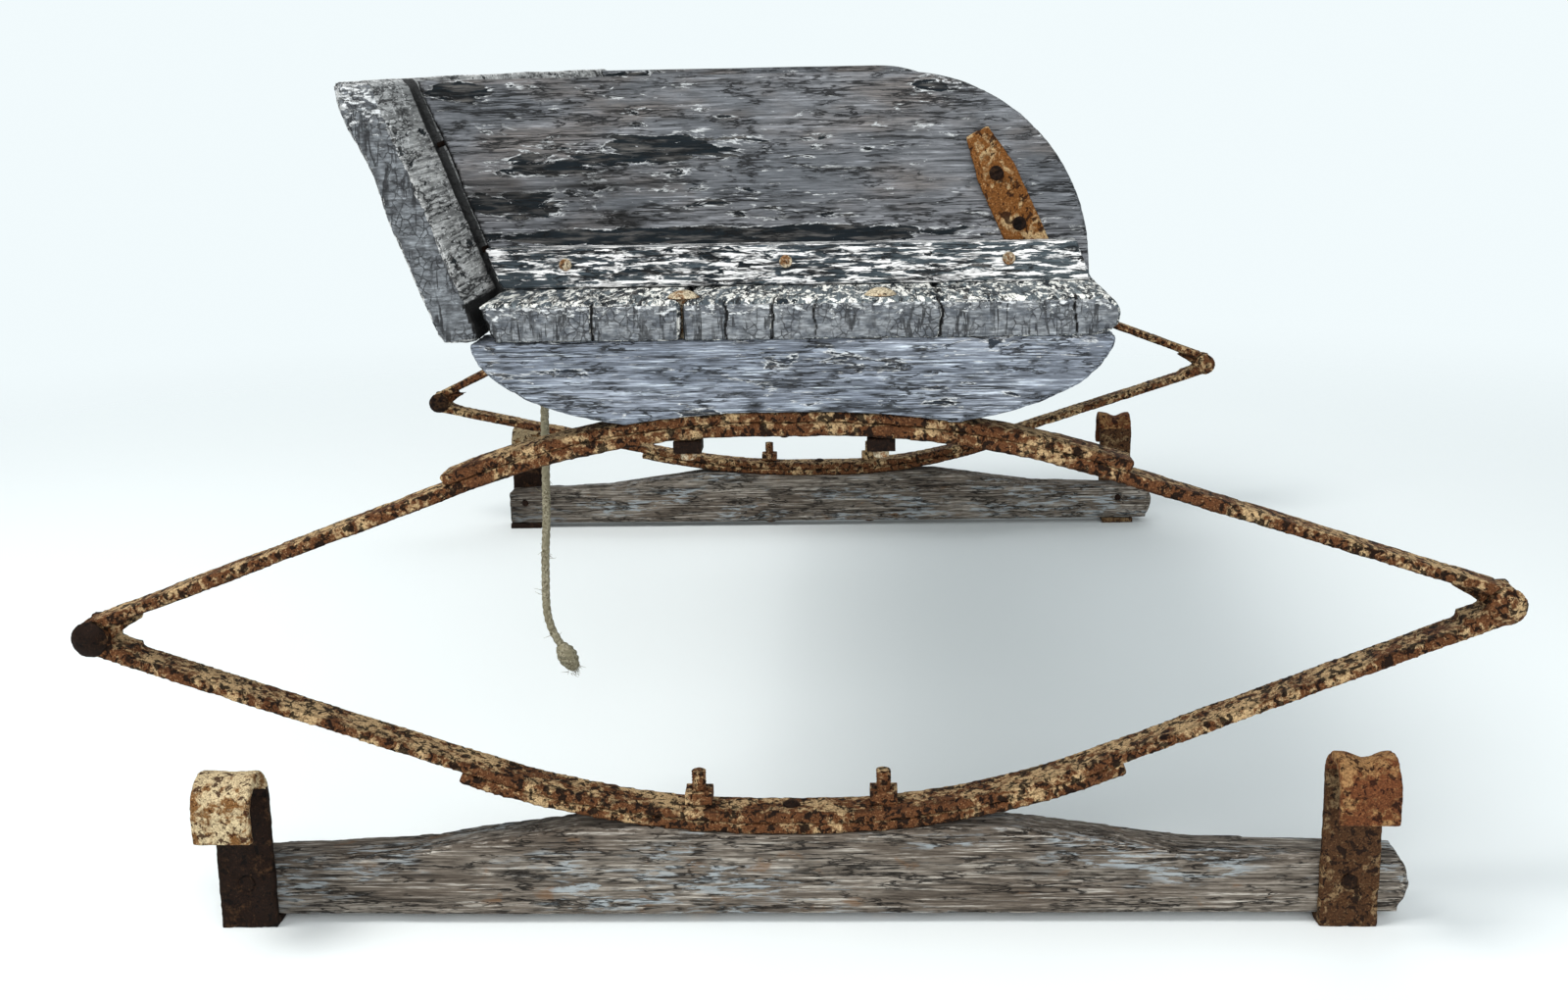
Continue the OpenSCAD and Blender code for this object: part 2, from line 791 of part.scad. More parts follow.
module bar_bolts(side) {
  color(iron) spring_bolts(side) {
    up_rod(0, 0, bar_z - touch, bar_nut_z(side) + nut_t + bar_bolt_tail, bolt_r);
    translate([0, 0, bar_z - touch]) mirror([0, 0, 1]) dome(head_r, head_h);
  }
}

module bar_nuts(side) {
  color(dark_iron) spring_bolts(side) square_nut(bar_nut_z(side));
}

module right_bar_bolts() { bar_bolts(RIGHT); }
module left_bar_bolts() { bar_bolts(LEFT); }
module right_bar_nuts() { bar_nuts(RIGHT); }
module left_bar_nuts() { bar_nuts(LEFT); }

// ---- twine ----

// A wire staple driven up into the seat, whose bar runs along Y
module staple(gap) {
  r = staple_r + gap;
  translate([twine_x, twine_y, seat_z - staple_drop]) {
    rotate([90, 0, 0]) translate([0, 0, -staple_half]) cylinder(h = 2 * staple_half, r = r);
    for (y = [-staple_half, staple_half]) translate([0, y, 0]) {
      cylinder(h = staple_drop + staple_depth + gap, r = r);
      sphere(r);
    }
  }
}

module twine_staple() { color(dark_iron) staple(0); }

// A knot is a barrel, with a flat face of the twine's width at z = 0, that hangs down
module knot(h, r) {
  mirror([0, 0, 1]) rotate_extrude() difference() {
    intersection() {
      square([r, h]);
      translate([0, h / 2]) circle(r = norm([h / 2, twine_d / 2]));
    }
  }
}

module twine_top_knot() {
  color(string) translate([twine_x, twine_y, twine_top + knot_h]) knot(knot_h - touch, knot_r);
}

function unit(v) = v / norm(v);
last = len(twine_route) - 1;
function along(i) = unit(twine_route[min(i + 1, last)] - twine_route[max(i - 1, 0)]);
ring = [for (s = [0 : twine_sides - 1])
  let (a = 360 * s / twine_sides) [cos(a), sin(a)] * twine_d / 2];

// A ring of points round the route, square to it
function ring_at(i) = let (
  d = along(i),
  u = unit(cross([0, 1, 0], d)),
  v = cross(d, u)
) [for (p = ring) twine_route[i] + u * p[0] + v * p[1]];

module twine() {
  points = [for (i = [0 : last]) each ring_at(i)];
  sides = [for (i = [0 : last - 1], s = [0 : twine_sides - 1])
    let (a = i * twine_sides + s, b = i * twine_sides + (s + 1) % twine_sides)
    each [[a, b, b + twine_sides], [a, b + twine_sides, a + twine_sides]]];
  caps = [
    [for (s = [twine_sides - 1 : -1 : 0]) s],
    [for (s = [0 : twine_sides - 1]) last * twine_sides + s]
  ];
  color(string) translate([twine_x, twine_y, twine_top])
    polyhedron(points, concat(sides, caps), convexity = 4);
}

module twine_end_knot() {
  d = along(last);
  color(string) translate(twine_route[last] + [twine_x, twine_y, twine_top] + d * touch)
    rotate([0, atan2(-d[0], -d[2]), 0]) knot(end_knot_h, end_knot_r);
}

seat_board_rear();
seat_board_front();
back_board();
back_nails();
right_end_panel();
left_end_panel();
panel_screws();
right_panel_strip();
left_panel_strip();
strip_nails();
right_stay();
left_stay();
stay_screws();
right_spring_block();
left_spring_block();
seat_bolts();
seat_bolt_nuts();
right_upper_main_leaf();
right_upper_short_leaf();
left_upper_main_leaf();
left_upper_short_leaf();
upper_leaf_rivets();
right_rear_eye_pin();
right_front_eye_pin();
right_eye_nuts();
left_rear_eye_pin();
left_front_eye_pin();
left_eye_nuts();
right_lower_main_leaf();
right_lower_short_leaf();
right_lower_rivet();
left_lower_main_leaf();
left_lower_short_leaf();
left_lower_rivet();
right_bar();
right_rear_hook();
right_front_hook();
right_hook_rivets();
right_bar_bolts();
right_bar_nuts();
left_bar();
left_rear_hook();
left_front_hook();
left_hook_rivets();
left_bar_bolts();
left_bar_nuts();
twine_staple();
twine_top_knot();
twine();
twine_end_knot();
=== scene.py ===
"""Looks of a wagon spring seat: flaking painted boards, bare oak bars and rusty springs and hooks.

Every wooden and iron part of the frame is replaced by a remeshed, worn copy of itself. The
copies get grain, splits, chips and rust pits as real geometry, and procedural materials on top.
"""
import math
import bmesh
import bpy
import numpy as np
from mathutils import Matrix, Vector


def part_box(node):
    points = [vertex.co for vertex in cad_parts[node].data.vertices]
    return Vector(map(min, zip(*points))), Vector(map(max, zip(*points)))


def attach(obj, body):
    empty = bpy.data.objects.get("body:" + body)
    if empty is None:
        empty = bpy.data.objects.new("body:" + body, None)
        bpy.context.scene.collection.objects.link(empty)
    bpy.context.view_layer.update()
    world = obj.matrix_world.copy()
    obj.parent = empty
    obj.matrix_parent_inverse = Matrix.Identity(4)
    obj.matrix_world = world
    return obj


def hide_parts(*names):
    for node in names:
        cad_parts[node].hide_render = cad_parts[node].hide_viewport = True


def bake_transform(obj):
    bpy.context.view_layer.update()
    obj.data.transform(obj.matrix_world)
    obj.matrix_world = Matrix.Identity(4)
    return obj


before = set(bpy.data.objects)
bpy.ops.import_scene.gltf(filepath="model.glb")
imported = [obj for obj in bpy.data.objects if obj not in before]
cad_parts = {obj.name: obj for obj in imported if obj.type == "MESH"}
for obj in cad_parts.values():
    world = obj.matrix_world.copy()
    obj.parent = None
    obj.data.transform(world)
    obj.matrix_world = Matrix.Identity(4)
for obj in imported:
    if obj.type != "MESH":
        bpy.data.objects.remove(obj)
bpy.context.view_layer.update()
MM = 0.001
SIDES = {"right": -1, "left": 1}
ENDS = {"rear": -1, "front": 1}

# ------------------------------------------------------------------ camera


def add_camera():
    """A camera a little above the seat, beyond its right-hand end, looking along the seat."""
    data = bpy.data.cameras.new("camera")
    data.sensor_width = 36.0
    data.lens = 42.1
    camera = bpy.data.objects.new("camera", data)
    bpy.context.collection.objects.link(camera)
    yaw, pitch, roll = math.radians(-2.33), math.radians(13.53), math.radians(-1.13)
    forward = Vector((math.sin(yaw) * math.cos(pitch), math.cos(yaw) * math.cos(pitch), -math.sin(pitch)))
    level = Vector((math.cos(yaw), -math.sin(yaw), 0))
    upright = level.cross(forward)
    right = level * math.cos(roll) + upright * math.sin(roll)
    up = upright * math.cos(roll) - level * math.sin(roll)
    place = Matrix((right, up, -forward)).transposed().to_4x4()
    place.translation = Vector((0.0429, -1.5843, 0.5310))
    camera.matrix_world = place
    bpy.context.scene.camera = camera


add_camera()

# ------------------------------------------------------------------ shader nodes


def tone(red, green, blue):
    """A colour from 0-255 screen values."""
    def linear(c):
        c /= 255
        return c / 12.92 if c <= 0.04045 else ((c + 0.055) / 1.055) ** 2.4
    return (linear(red), linear(green), linear(blue), 1.0)


def scaled(colour, factor):
    """A darker or lighter tone of a colour from 0-255 screen values."""
    return tone(*[min(255, factor * c) for c in colour])


class Shader:
    """A material and short ways to add nodes to it. Coordinates are in millimetres."""

    def __init__(self, name, specular=0.3):
        self.material = bpy.data.materials.new(name)
        self.material.use_nodes = True
        self.tree = self.material.node_tree
        self.bsdf = next(n for n in self.tree.nodes if n.type == "BSDF_PRINCIPLED")
        self.bsdf.inputs["Specular IOR Level"].default_value = specular
        self.coordinates = self.tree.nodes.new("ShaderNodeTexCoord")

    def node(self, kind, inputs=None, **settings):
        made = self.tree.nodes.new(kind)
        for key, value in settings.items():
            setattr(made, key, value)
        for key, value in (inputs or {}).items():
            self.feed(made.inputs[key], value)
        return made

    def feed(self, socket, value):
        if isinstance(value, bpy.types.NodeSocket):
            self.tree.links.new(value, socket)
        else:
            socket.default_value = value

    def stretched(self, x=1.0, y=1.0, z=1.0, shift=(0, 0, 0)):
        """Object coordinates in millimetres, squeezed along an axis where the factor is small."""
        return self.node("ShaderNodeMapping", {
            "Vector": self.coordinates.outputs["Object"],
            "Scale": (x / MM, y / MM, z / MM), "Location": shift}).outputs[0]

    def noise(self, vector, scale, detail=4.0, rough=0.55, distortion=0.0):
        return self.node("ShaderNodeTexNoise", {
            "Vector": vector, "Scale": scale, "Detail": detail,
            "Roughness": rough, "Distortion": distortion}).outputs["Fac"]

    def cells(self, vector, scale):
        """The distance to the nearest edge of a net of cells."""
        return self.node("ShaderNodeTexVoronoi", {"Vector": vector, "Scale": scale},
                         feature="DISTANCE_TO_EDGE").outputs["Distance"]

    def math(self, operation, a, b=0.0):
        return self.node("ShaderNodeMath", {0: a, 1: b}, operation=operation).outputs[0]

    def band(self, value, low, high, out_low=0.0, out_high=1.0):
        """A smooth step from low to high."""
        return self.node("ShaderNodeMapRange", {
            "Value": value, "From Min": low, "From Max": high,
            "To Min": out_low, "To Max": out_high},
            interpolation_type="SMOOTHSTEP").outputs["Result"]

    def mix(self, share, a, b):
        made = self.node("ShaderNodeMix", data_type="RGBA")
        self.feed(made.inputs[0], share)
        self.feed(made.inputs[6], a)
        self.feed(made.inputs[7], b)
        return made.outputs[2]

    def facing(self, axis):
        """1 where the surface faces along an object axis, either way."""
        split = self.node("ShaderNodeSeparateXYZ", {0: self.coordinates.outputs["Normal"]})
        return self.math("ABSOLUTE", split.outputs[axis])

    def place(self, axis):
        """An object coordinate, in millimetres."""
        split = self.node("ShaderNodeSeparateXYZ", {0: self.coordinates.outputs["Object"]})
        return self.math("DIVIDE", split.outputs[axis], MM)

    def grain(self, along, across_mm, along_mm, shift=(0, 0, 0)):
        """Coordinates of which one unit is across_mm across the grain, and along_mm along it."""
        sizes = {"x": across_mm, "y": across_mm, "z": across_mm, along: along_mm}
        return self.stretched(1 / sizes["x"], 1 / sizes["y"], 1 / sizes["z"], shift)

    def lines(self, vector, width):
        """1 on thin wandering lines, which run the way in which the coordinates are stretched."""
        wave = self.noise(vector, 1.0, 5.0, 0.55, 0.3)
        return self.band(self.math("ABSOLUTE", self.math("SUBTRACT", wave, 0.5)), width, width * 0.3)

    def warped(self, vector, size, amount):
        """Coordinates pushed about by noise."""
        noise = self.node("ShaderNodeTexNoise", {"Vector": vector, "Scale": size, "Detail": 3.0})
        push = self.node("ShaderNodeVectorMath", {0: noise.outputs["Color"], 1: (amount, amount, amount)},
                         operation="MULTIPLY")
        return self.node("ShaderNodeVectorMath", {0: vector, 1: push.outputs[0]}, operation="ADD").outputs[0]

    def spot(self, x, z, x_reach, z_reach, strength):
        """A soft spot round a place in the X-Z plane, in millimetres."""
        dx = self.math("DIVIDE", self.math("SUBTRACT", self.place("X"), x), x_reach)
        dz = self.math("DIVIDE", self.math("SUBTRACT", self.place("Z"), z), z_reach)
        away = self.math("ADD", self.math("MULTIPLY", dx, dx), self.math("MULTIPLY", dz, dz))
        return self.band(away, 1.6, 0.0, 0.0, strength)

    def attribute(self, name):
        return self.node("ShaderNodeAttribute", attribute_name=name).outputs["Fac"]

    def finish(self, colour, rough, height, depth_mm):
        bump = self.node("ShaderNodeBump", {
            "Height": height, "Strength": 1.0, "Distance": depth_mm * MM})
        self.feed(self.bsdf.inputs["Base Color"], colour)
        self.feed(self.bsdf.inputs["Roughness"], rough)
        self.feed(self.bsdf.inputs["Normal"], bump.outputs[0])
        return self.material


def grain_wood(s, along, shift, fineness=1.0):
    """(streaks, fibres, cracks) along the grain, each from 0 to 1. Cracks are thin and dark."""
    streaks = s.noise(s.grain(along, 2.4 * fineness, 70 * fineness, shift), 1.0, 4.0, 0.65, 0.1)
    fibres = s.noise(s.grain(along, 0.9, 13, shift), 1.0, 3.0, 0.7)
    long_cracks = s.lines(s.grain(along, 6 * fineness, 60, shift), 0.030)
    gate = s.band(s.noise(s.grain(along, 14, 70, shift), 1.0, 3.0), 0.44, 0.58)
    short_cracks = s.lines(s.grain(along, 2.6, 18, shift), 0.045)
    sparse = s.band(s.noise(s.grain(along, 9, 26, shift), 1.0, 3.0), 0.50, 0.62)
    cracks = s.math("MAXIMUM", s.math("MULTIPLY", long_cracks, gate), s.math("MULTIPLY", short_cracks, sparse))
    return streaks, fibres, cracks


def painted_wood(name, along, light, dark, under, loss=0.5, white=0.5, streaky=0.5, shift=(0, 0, 0),
                 spots=(), tinge=None, ends=None, chalk=(214, 217, 219), flake=(1.7, 9), fineness=1.0,
                 flecks=None):
    """Old flaking paint: a worn coat with pale flake edges, and an older dark coat below it.

    spots lists (x, z, x_reach, z_reach, strength) in mm, where more of the coat has gone. flake is a
    fleck's size across and along the grain, and ends gives the sawn ends' look, as in end_grain.
    """
    s = Shader(name)
    streaks, fibres, cracks = grain_wood(s, along, shift, fineness)
    tint = s.noise(s.grain(along, 55, 160, shift), 1.0, 4.0)
    coat = s.mix(s.band(tint, 0.36, 0.64), tone(*dark), tone(*light))
    if tinge:
        clouds = s.noise(s.grain(along, 30, 90, (9, 4, 2)), 1.0, 4.0)
        coat = s.mix(s.band(clouds, 0.48, 0.66, 0, 0.6), coat, tone(*tinge))
    coat = s.mix(s.band(streaks, 0.62, 0.36, 0.0, 0.25 + 0.6 * streaky), coat, scaled(dark, 0.5))
    coat = s.mix(s.band(streaks, 0.56, 0.72, 0.0, 0.2 + 0.6 * streaky), coat, scaled(light, 1.35))
    coat = s.mix(s.band(fibres, 0.60, 0.38, 0.0, 0.55), coat, scaled(dark, 0.5))
    field = s.noise(s.grain(along, 6.5, 26, shift), 1.0, 8.0, 0.62, 0.6)
    broad = s.noise(s.grain(along, 45, 120, shift), 1.0, 3.0)
    field = s.math("ADD", field, s.math("MULTIPLY", s.math("SUBTRACT", broad, 0.5), 0.5))
    for spot in spots:
        field = s.math("SUBTRACT", field, s.spot(*spot))
    edge = 0.30 + 0.30 * loss
    lost = s.band(field, edge + 0.010, edge - 0.010)
    near_edge = s.band(field, edge + 0.012 + 0.07 * white, edge + 0.012)
    rim = s.math("MULTIPLY", near_edge, s.math("SUBTRACT", 1.0, lost))
    rim = s.math("MULTIPLY", rim, s.band(s.noise(s.grain(along, 2.2, 9, shift), 1.0, 4.0), 0.45, 0.53))
    bare = 0.70 - 0.13 * (white if flecks is None else flecks)
    scales = s.noise(s.grain(along, *flake, (shift[0] + 5, 3, 8)), 1.0, 5.0, 0.6, 0.3)
    fleck = s.band(scales, bare, bare + 0.02)
    old_coat = s.noise(s.grain(along, 3, 22, shift), 1.0, 5.0)
    below = s.mix(s.band(old_coat, 0.46, 0.66), tone(*under), tone(96, 94, 92))
    below = s.mix(s.band(fibres, 0.36, 0.62, 0.0, 0.45), below, scaled(under, 0.45))
    colour = s.mix(lost, coat, below)
    colour = s.mix(rim, colour, tone(*chalk))
    colour = s.mix(fleck, colour, tone(*chalk))
    colour = s.mix(s.math("MULTIPLY", cracks, 0.9), colour, tone(20, 21, 23))
    height = s.math("ADD", s.math("MULTIPLY", fibres, 0.3), s.math("MULTIPLY", streaks, 0.4))
    height = s.math("ADD", height, s.math("MULTIPLY", s.math("MAXIMUM", rim, fleck), 0.3))
    height = s.math("SUBTRACT", height, s.math("ADD", s.math("MULTIPLY", lost, 0.35), cracks))
    if ends:
        colour, height = end_grain(s, along, colour, height, ends, shift)
    # Near black where the layer says so: real splits and chips, and painted shade in the gaps between boards.
    colour = s.mix(s.attribute("wear_and_shade"), colour, tone(9, 9, 9))
    return s.finish(colour, s.band(lost, 0.0, 1.0, 0.7, 0.88), height, 0.8)


def end_grain(s, along, colour, height, ends, shift):
    """Sawn ends: grey wood with upright checks and a net of fine cracks, and chalky paint at the top."""
    low, high, chalk_from, chalk_to = ends
    on_end = s.band(s.facing("X" if along == "x" else "Y"), 0.70, 0.86)
    flat = s.stretched(1.0, 1.0, 1.0, shift)
    patches = s.noise(s.stretched(1 / 9, 1 / 9, 1 / 5, shift), 1.0, 7.0, 0.66)
    face = s.mix(s.band(patches, 0.36, 0.66), tone(*low), tone(*high))
    rows = s.noise(s.stretched(1 / 7, 1 / 7, 1 / 1.3, shift), 1.0, 4.0, 0.6)
    face = s.mix(s.band(rows, 0.60, 0.40, 0.0, 0.55), face, scaled(low, 0.45))
    face = s.mix(s.band(rows, 0.60, 0.74, 0.0, 0.6), face, scaled(high, 1.4))
    bent = s.warped(s.stretched(1 / 4.6, 1 / 4.6, 1 / 5.6, shift), 0.8, 0.9)
    net = s.math("MULTIPLY", s.band(s.cells(bent, 1.0), 0.085, 0.015),
                 s.band(s.noise(flat, 1 / 16, 3.0), 0.40, 0.56))
    upright = s.lines(s.stretched(1 / 7, 1 / 40, 1 / 55, shift), 0.035)
    groups = s.noise(s.stretched(1 / 15, 1 / 15, 1 / 30, shift), 1.0, 3.0)
    upright = s.math("MULTIPLY", upright, s.band(groups, 0.46, 0.6))
    cracks = s.math("MAXIMUM", s.math("MULTIPLY", net, 0.8), upright)
    face = s.mix(s.math("MULTIPLY", cracks, 0.85), face, tone(26, 27, 29))
    flake = s.noise(s.warped(s.stretched(1 / 6, 1 / 6, 1 / 3.2, shift), 0.6, 0.8), 1.0, 6.0, 0.65)
    rise = s.band(s.place("Z"), chalk_from, chalk_to, 0.72, 0.50)
    chalky = s.band(s.math("SUBTRACT", flake, rise), -0.01, 0.02)
    face = s.mix(chalky, face, s.mix(s.band(rows, 0.4, 0.6), tone(150, 152, 152), tone(222, 225, 227)))
    end_height = s.math("SUBTRACT", s.math("MULTIPLY", rows, 0.35), cracks)
    end_height = s.math("ADD", end_height, s.math("MULTIPLY", chalky, 0.4))
    mixed = s.node("ShaderNodeMix", data_type="FLOAT")
    s.feed(mixed.inputs[0], on_end)
    s.feed(mixed.inputs[2], height)
    s.feed(mixed.inputs[3], end_height)
    return s.mix(on_end, colour, face), mixed.outputs[0]


def bare_oak(name, shift=(0, 0, 0)):
    """Grey, deeply weathered oak with a few traces of pale blue paint."""
    s = Shader(name, specular=0.2)
    streaks, fibres, cracks = grain_wood(s, "x", shift, 0.7)
    broad = s.noise(s.grain("x", 30, 140, shift), 1.0, 4.0)
    colour = s.mix(s.band(broad, 0.36, 0.64), tone(108, 98, 88), tone(138, 130, 120))
    colour = s.mix(s.band(streaks, 0.56, 0.38, 0.0, 0.7), colour, tone(66, 58, 50))
    colour = s.mix(s.band(streaks, 0.53, 0.68, 0.0, 0.85), colour, tone(198, 192, 182))
    colour = s.mix(s.band(fibres, 0.55, 0.36, 0.0, 0.6), colour, tone(52, 45, 39))
    stain = s.noise(s.stretched(1 / 26, 1 / 26, 1 / 16, shift), 1.0, 4.0, 0.6, 0.5)
    colour = s.mix(s.band(stain, 0.60, 0.72, 0.0, 0.55), colour, tone(112, 80, 50))
    traces = s.noise(s.grain("x", 3.4, 22, shift), 1.0, 7.0, 0.65, 0.4)
    gate = s.band(s.noise(s.grain("x", 22, 90, (shift[0] + 3, 1, 1)), 1.0, 3.0), 0.48, 0.62)
    trace = s.math("MULTIPLY", s.band(traces, 0.50, 0.57), gate)
    colour = s.mix(s.math("MULTIPLY", trace, 0.8), colour, tone(158, 166, 170))
    colour = s.mix(s.math("MULTIPLY", cracks, 0.9), colour, tone(24, 21, 19))
    # Darker where the layer says so: real splits and chips, and painted shade at the rear end of each bar.
    colour = s.mix(s.math("MULTIPLY", s.attribute("wear_and_shade"), 0.9), colour, tone(26, 22, 19))
    height = s.math("ADD", s.math("MULTIPLY", fibres, 0.5), s.math("MULTIPLY", streaks, 0.6))
    height = s.math("ADD", height, s.math("MULTIPLY", trace, 0.2))
    height = s.math("SUBTRACT", height, s.math("MULTIPLY", cracks, 1.1))
    return s.finish(colour, 0.92, height, 0.9)


def rust(name, dark, brown, tan, spots=0.5, pale=0.5, size=1.0, shift=(0, 0, 0)):
    """Pitted rust: brown with pale, lime-like scale and dark round spots."""
    s = Shader(name, specular=0.12)
    flat = s.stretched(1, 1, 1, shift)
    cloud = s.noise(flat, 0.045 / size, 4.0, 0.6, 0.4)
    scale = s.noise(flat, 0.19 / size, 7.0, 0.64, 0.5)
    up = s.node("ShaderNodeSeparateXYZ", {0: s.coordinates.outputs["Normal"]}).outputs["Z"]
    mixture = s.math("ADD", s.math("MULTIPLY", cloud, 0.5), s.math("MULTIPLY", scale, 0.5))
    mixture = s.math("ADD", mixture, s.band(up, 0.2, 0.9, 0.0, 0.05))
    colour = s.mix(s.band(mixture, 0.56 - 0.14 * pale, 0.64 - 0.14 * pale), tone(*brown), tone(*tan))
    grit = s.noise(flat, 0.9, 4.0, 0.7)
    colour = s.mix(s.band(grit, 0.56, 0.40, 0.0, 0.55), colour, scaled(brown, 0.5))
    colour = s.mix(s.band(grit, 0.58, 0.70, 0.0, 0.5), colour, scaled(tan, 1.15))
    blots = s.noise(s.stretched(1, 1, 1, (shift[0] + 31, 7, 3)), 0.21 / size, 5.0, 0.58, 0.5)
    spot = s.band(blots, 0.63 - 0.14 * spots, 0.67 - 0.14 * spots)
    fine = s.band(s.noise(s.stretched(1, 1, 1, (3, shift[0] + 11, 5)), 0.55 / size, 3.0), 0.60, 0.66)
    colour = s.mix(s.math("MULTIPLY", s.math("MAXIMUM", spot, fine), 0.9), colour, tone(*dark))
    colour = s.mix(s.math("MULTIPLY", s.attribute("wear_and_shade"), 0.6), colour, scaled(dark, 0.6))
    height = s.math("ADD", s.math("MULTIPLY", grit, 0.6), s.math("MULTIPLY", scale, 0.6))
    height = s.math("SUBTRACT", height, s.math("MULTIPLY", spot, 0.5))
    return s.finish(colour, s.band(cloud, 0.3, 0.7, 0.7, 0.9), height, 0.6)


def twine_stuff(name):
    s = Shader(name, specular=0.15)
    speck = s.noise(s.stretched(), 0.7, 5.0, 0.7)
    dust = s.noise(s.stretched(), 0.12, 3.0)
    colour = s.mix(s.band(speck, 0.35, 0.65), tone(84, 76, 56), tone(170, 164, 142))
    colour = s.mix(s.band(dust, 0.45, 0.65), colour, tone(132, 126, 104))
    return s.finish(colour, 0.95, speck, 0.4)


PANEL_SPOTS = (
    (-70, 478, 62, 9, 0.26), (-150, 470, 40, 7, 0.20), (-170, 444, 40, 10, 0.20), (-60, 425, 190, 6, 0.34),
    (100, 516, 26, 6, 0.22), (-200, 515, 24, 6, 0.22), (150, 470, 14, 30, 0.05))
PANEL_PAINT = painted_wood(
    "panel_paint", "x", (142, 144, 149), (112, 116, 122), (14, 25, 32), loss=0.13, white=0.9, streaky=0.45,
    shift=(3, 9, 2), spots=PANEL_SPOTS, tinge=(122, 110, 100), fineness=0.6, flecks=0.25, flake=(1.3, 12))
INNER_PAINT = painted_wood(
    "back_paint", "y", (238, 238, 236), (204, 206, 206), (34, 42, 46), loss=0.30, white=0.8, streaky=1.0,
    shift=(8, 1, 5), ends=((84, 87, 91), (136, 141, 146), 470, 512), chalk=(246, 247, 247))
STRIP_PAINT = painted_wood(
    "strip_paint", "x", (92, 104, 110), (62, 74, 82), (26, 38, 46), loss=0.36, white=1.36, streaky=0.3,
    shift=(1, 4, 8), chalk=(255, 255, 255), flake=(2.3, 19), fineness=0.7)
SEAT_PAINT = painted_wood(
    "seat_paint", "y", (126, 136, 140), (88, 99, 107), (24, 36, 44), loss=0.46, white=1.25, streaky=0.4,
    shift=(5, 2, 7), ends=((92, 97, 104), (150, 154, 158), 378, 394), chalk=(246, 246, 240), flake=(4.5, 16))
BLOCK_PAINT = painted_wood(
    "block_paint", "x", (176, 184, 198), (134, 144, 160), (44, 52, 62), loss=0.16, white=0.8, streaky=1.0,
    shift=(9, 5, 1), fineness=0.42, flecks=0.5, flake=(0.9, 16))
OAK = bare_oak("bare_oak", (4, 6, 9))
SPRING_RUST = rust("spring_rust", (8, 3, 1), (98, 60, 34), (194, 164, 122), 0.74, 0.42, 1.0, (2, 2, 2))
DARK_RUST = rust("dark_rust", (10, 5, 3), (30, 17, 10), (64, 44, 28), 0.4, 0.25, 1.2, (6, 3, 8))
BROWN_RUST = rust("brown_rust", (24, 12, 7), (74, 48, 28), (132, 108, 78), 0.55, 0.35, 1.0, (8, 3, 5))
PALE_LIP = rust("pale_lip", (50, 22, 8), (122, 84, 46), (206, 186, 148), 0.46, 0.55, 1.3, (7, 7, 1))
BROWN_LIP = rust("brown_lip", (36, 14, 6), (104, 60, 34), (160, 122, 80), 0.50, 0.34, 1.2, (5, 1, 3))
STAY_RUST = rust("stay_rust", (40, 20, 8), (122, 76, 34), (188, 160, 118), 0.42, 0.42, 1.1, (1, 8, 4))
NAIL_RUST = rust("nail_rust", (60, 38, 24), (138, 98, 62), (210, 196, 168), 0.3, 0.7, 0.6, (3, 3, 9))
TWINE_STUFF = twine_stuff("twine_stuff")

# ------------------------------------------------------------------ numbers for wear


def values(points, seed):
    """Smooth random numbers from -1 to 1 at each point: one cell is one unit."""
    cell = np.floor(points).astype(np.int64)
    inside = points - cell
    ease = inside * inside * (3 - 2 * inside)
    total = np.zeros(len(points))
    for corner in np.ndindex(2, 2, 2):
        at = cell + corner
        code = (at[:, 0] * 73856093) ^ (at[:, 1] * 19349663) ^ (at[:, 2] * 83492791) ^ (seed * 2654435761)
        code = (code ^ (code >> 13)) * 1274126177 & 0xFFFFFFFF
        code = (code ^ (code >> 16)) & 0xFFFFFF
        share = np.prod(np.where(corner, ease, 1 - ease), axis=1)
        total += share * (code / float(0x7FFFFF) - 1.0)
    return total


def rough_field(points, cell_mm, seed, octaves=3):
    """Fractal noise whose largest cells measure cell_mm along each axis."""
    scaled = points / (np.array(cell_mm, float) * MM)
    total, size = np.zeros(len(points)), 1.0
    for octave in range(octaves):
        total += size * values(scaled * 2 ** octave + 17.3 * octave, seed + octave)
        size *= 0.5
    return total


def step(low, high, value):
    t = np.clip((value - low) / (high - low), 0, 1)
    return t * t * (3 - 2 * t)


def splits(points, grain_axis, cells, seed, width=0.06):
    """1 in the middle of thin splits that run along the grain, 0 away from them."""
    size = np.array([cells[0]] * 3, float)
    size[grain_axis] = cells[1]
    field = np.abs(rough_field(points, size, seed, 2))
    gate = step(0.05, 0.5, values(points / (size * 2.2 * MM), seed + 40))
    return step(width, 0.0, field) * gate


# ------------------------------------------------------------------ pieces


def copy_of(nodes, extra=()):
    """One mesh from the CAD nodes, and any extra solids as (vertices, faces)."""
    points, faces = [], []
    for node in nodes:
        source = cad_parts[node]
        base = len(points)
        points += [source.matrix_world @ v.co for v in source.data.vertices]
        faces += [[base + i for i in p.vertices] for p in source.data.polygons]
    for solid_points, solid_faces in extra:
        base = len(points)
        points += [Vector(p) for p in solid_points]
        faces += [[base + i for i in f] for f in solid_faces]
    mesh = bpy.data.meshes.new("copy")
    mesh.from_pydata([tuple(p) for p in points], [], faces)
    return mesh


def with_modifiers(piece, *modifiers):
    """The piece's mesh after the modifiers, which are then gone."""
    for kind, settings in modifiers:
        added = piece.modifiers.new(kind, kind)
        for key, value in settings.items():
            setattr(added, key, value)
    graph = bpy.context.evaluated_depsgraph_get()
    old = piece.data
    piece.data = bpy.data.meshes.new_from_object(piece.evaluated_get(graph))
    piece.modifiers.clear()
    bpy.data.meshes.remove(old)


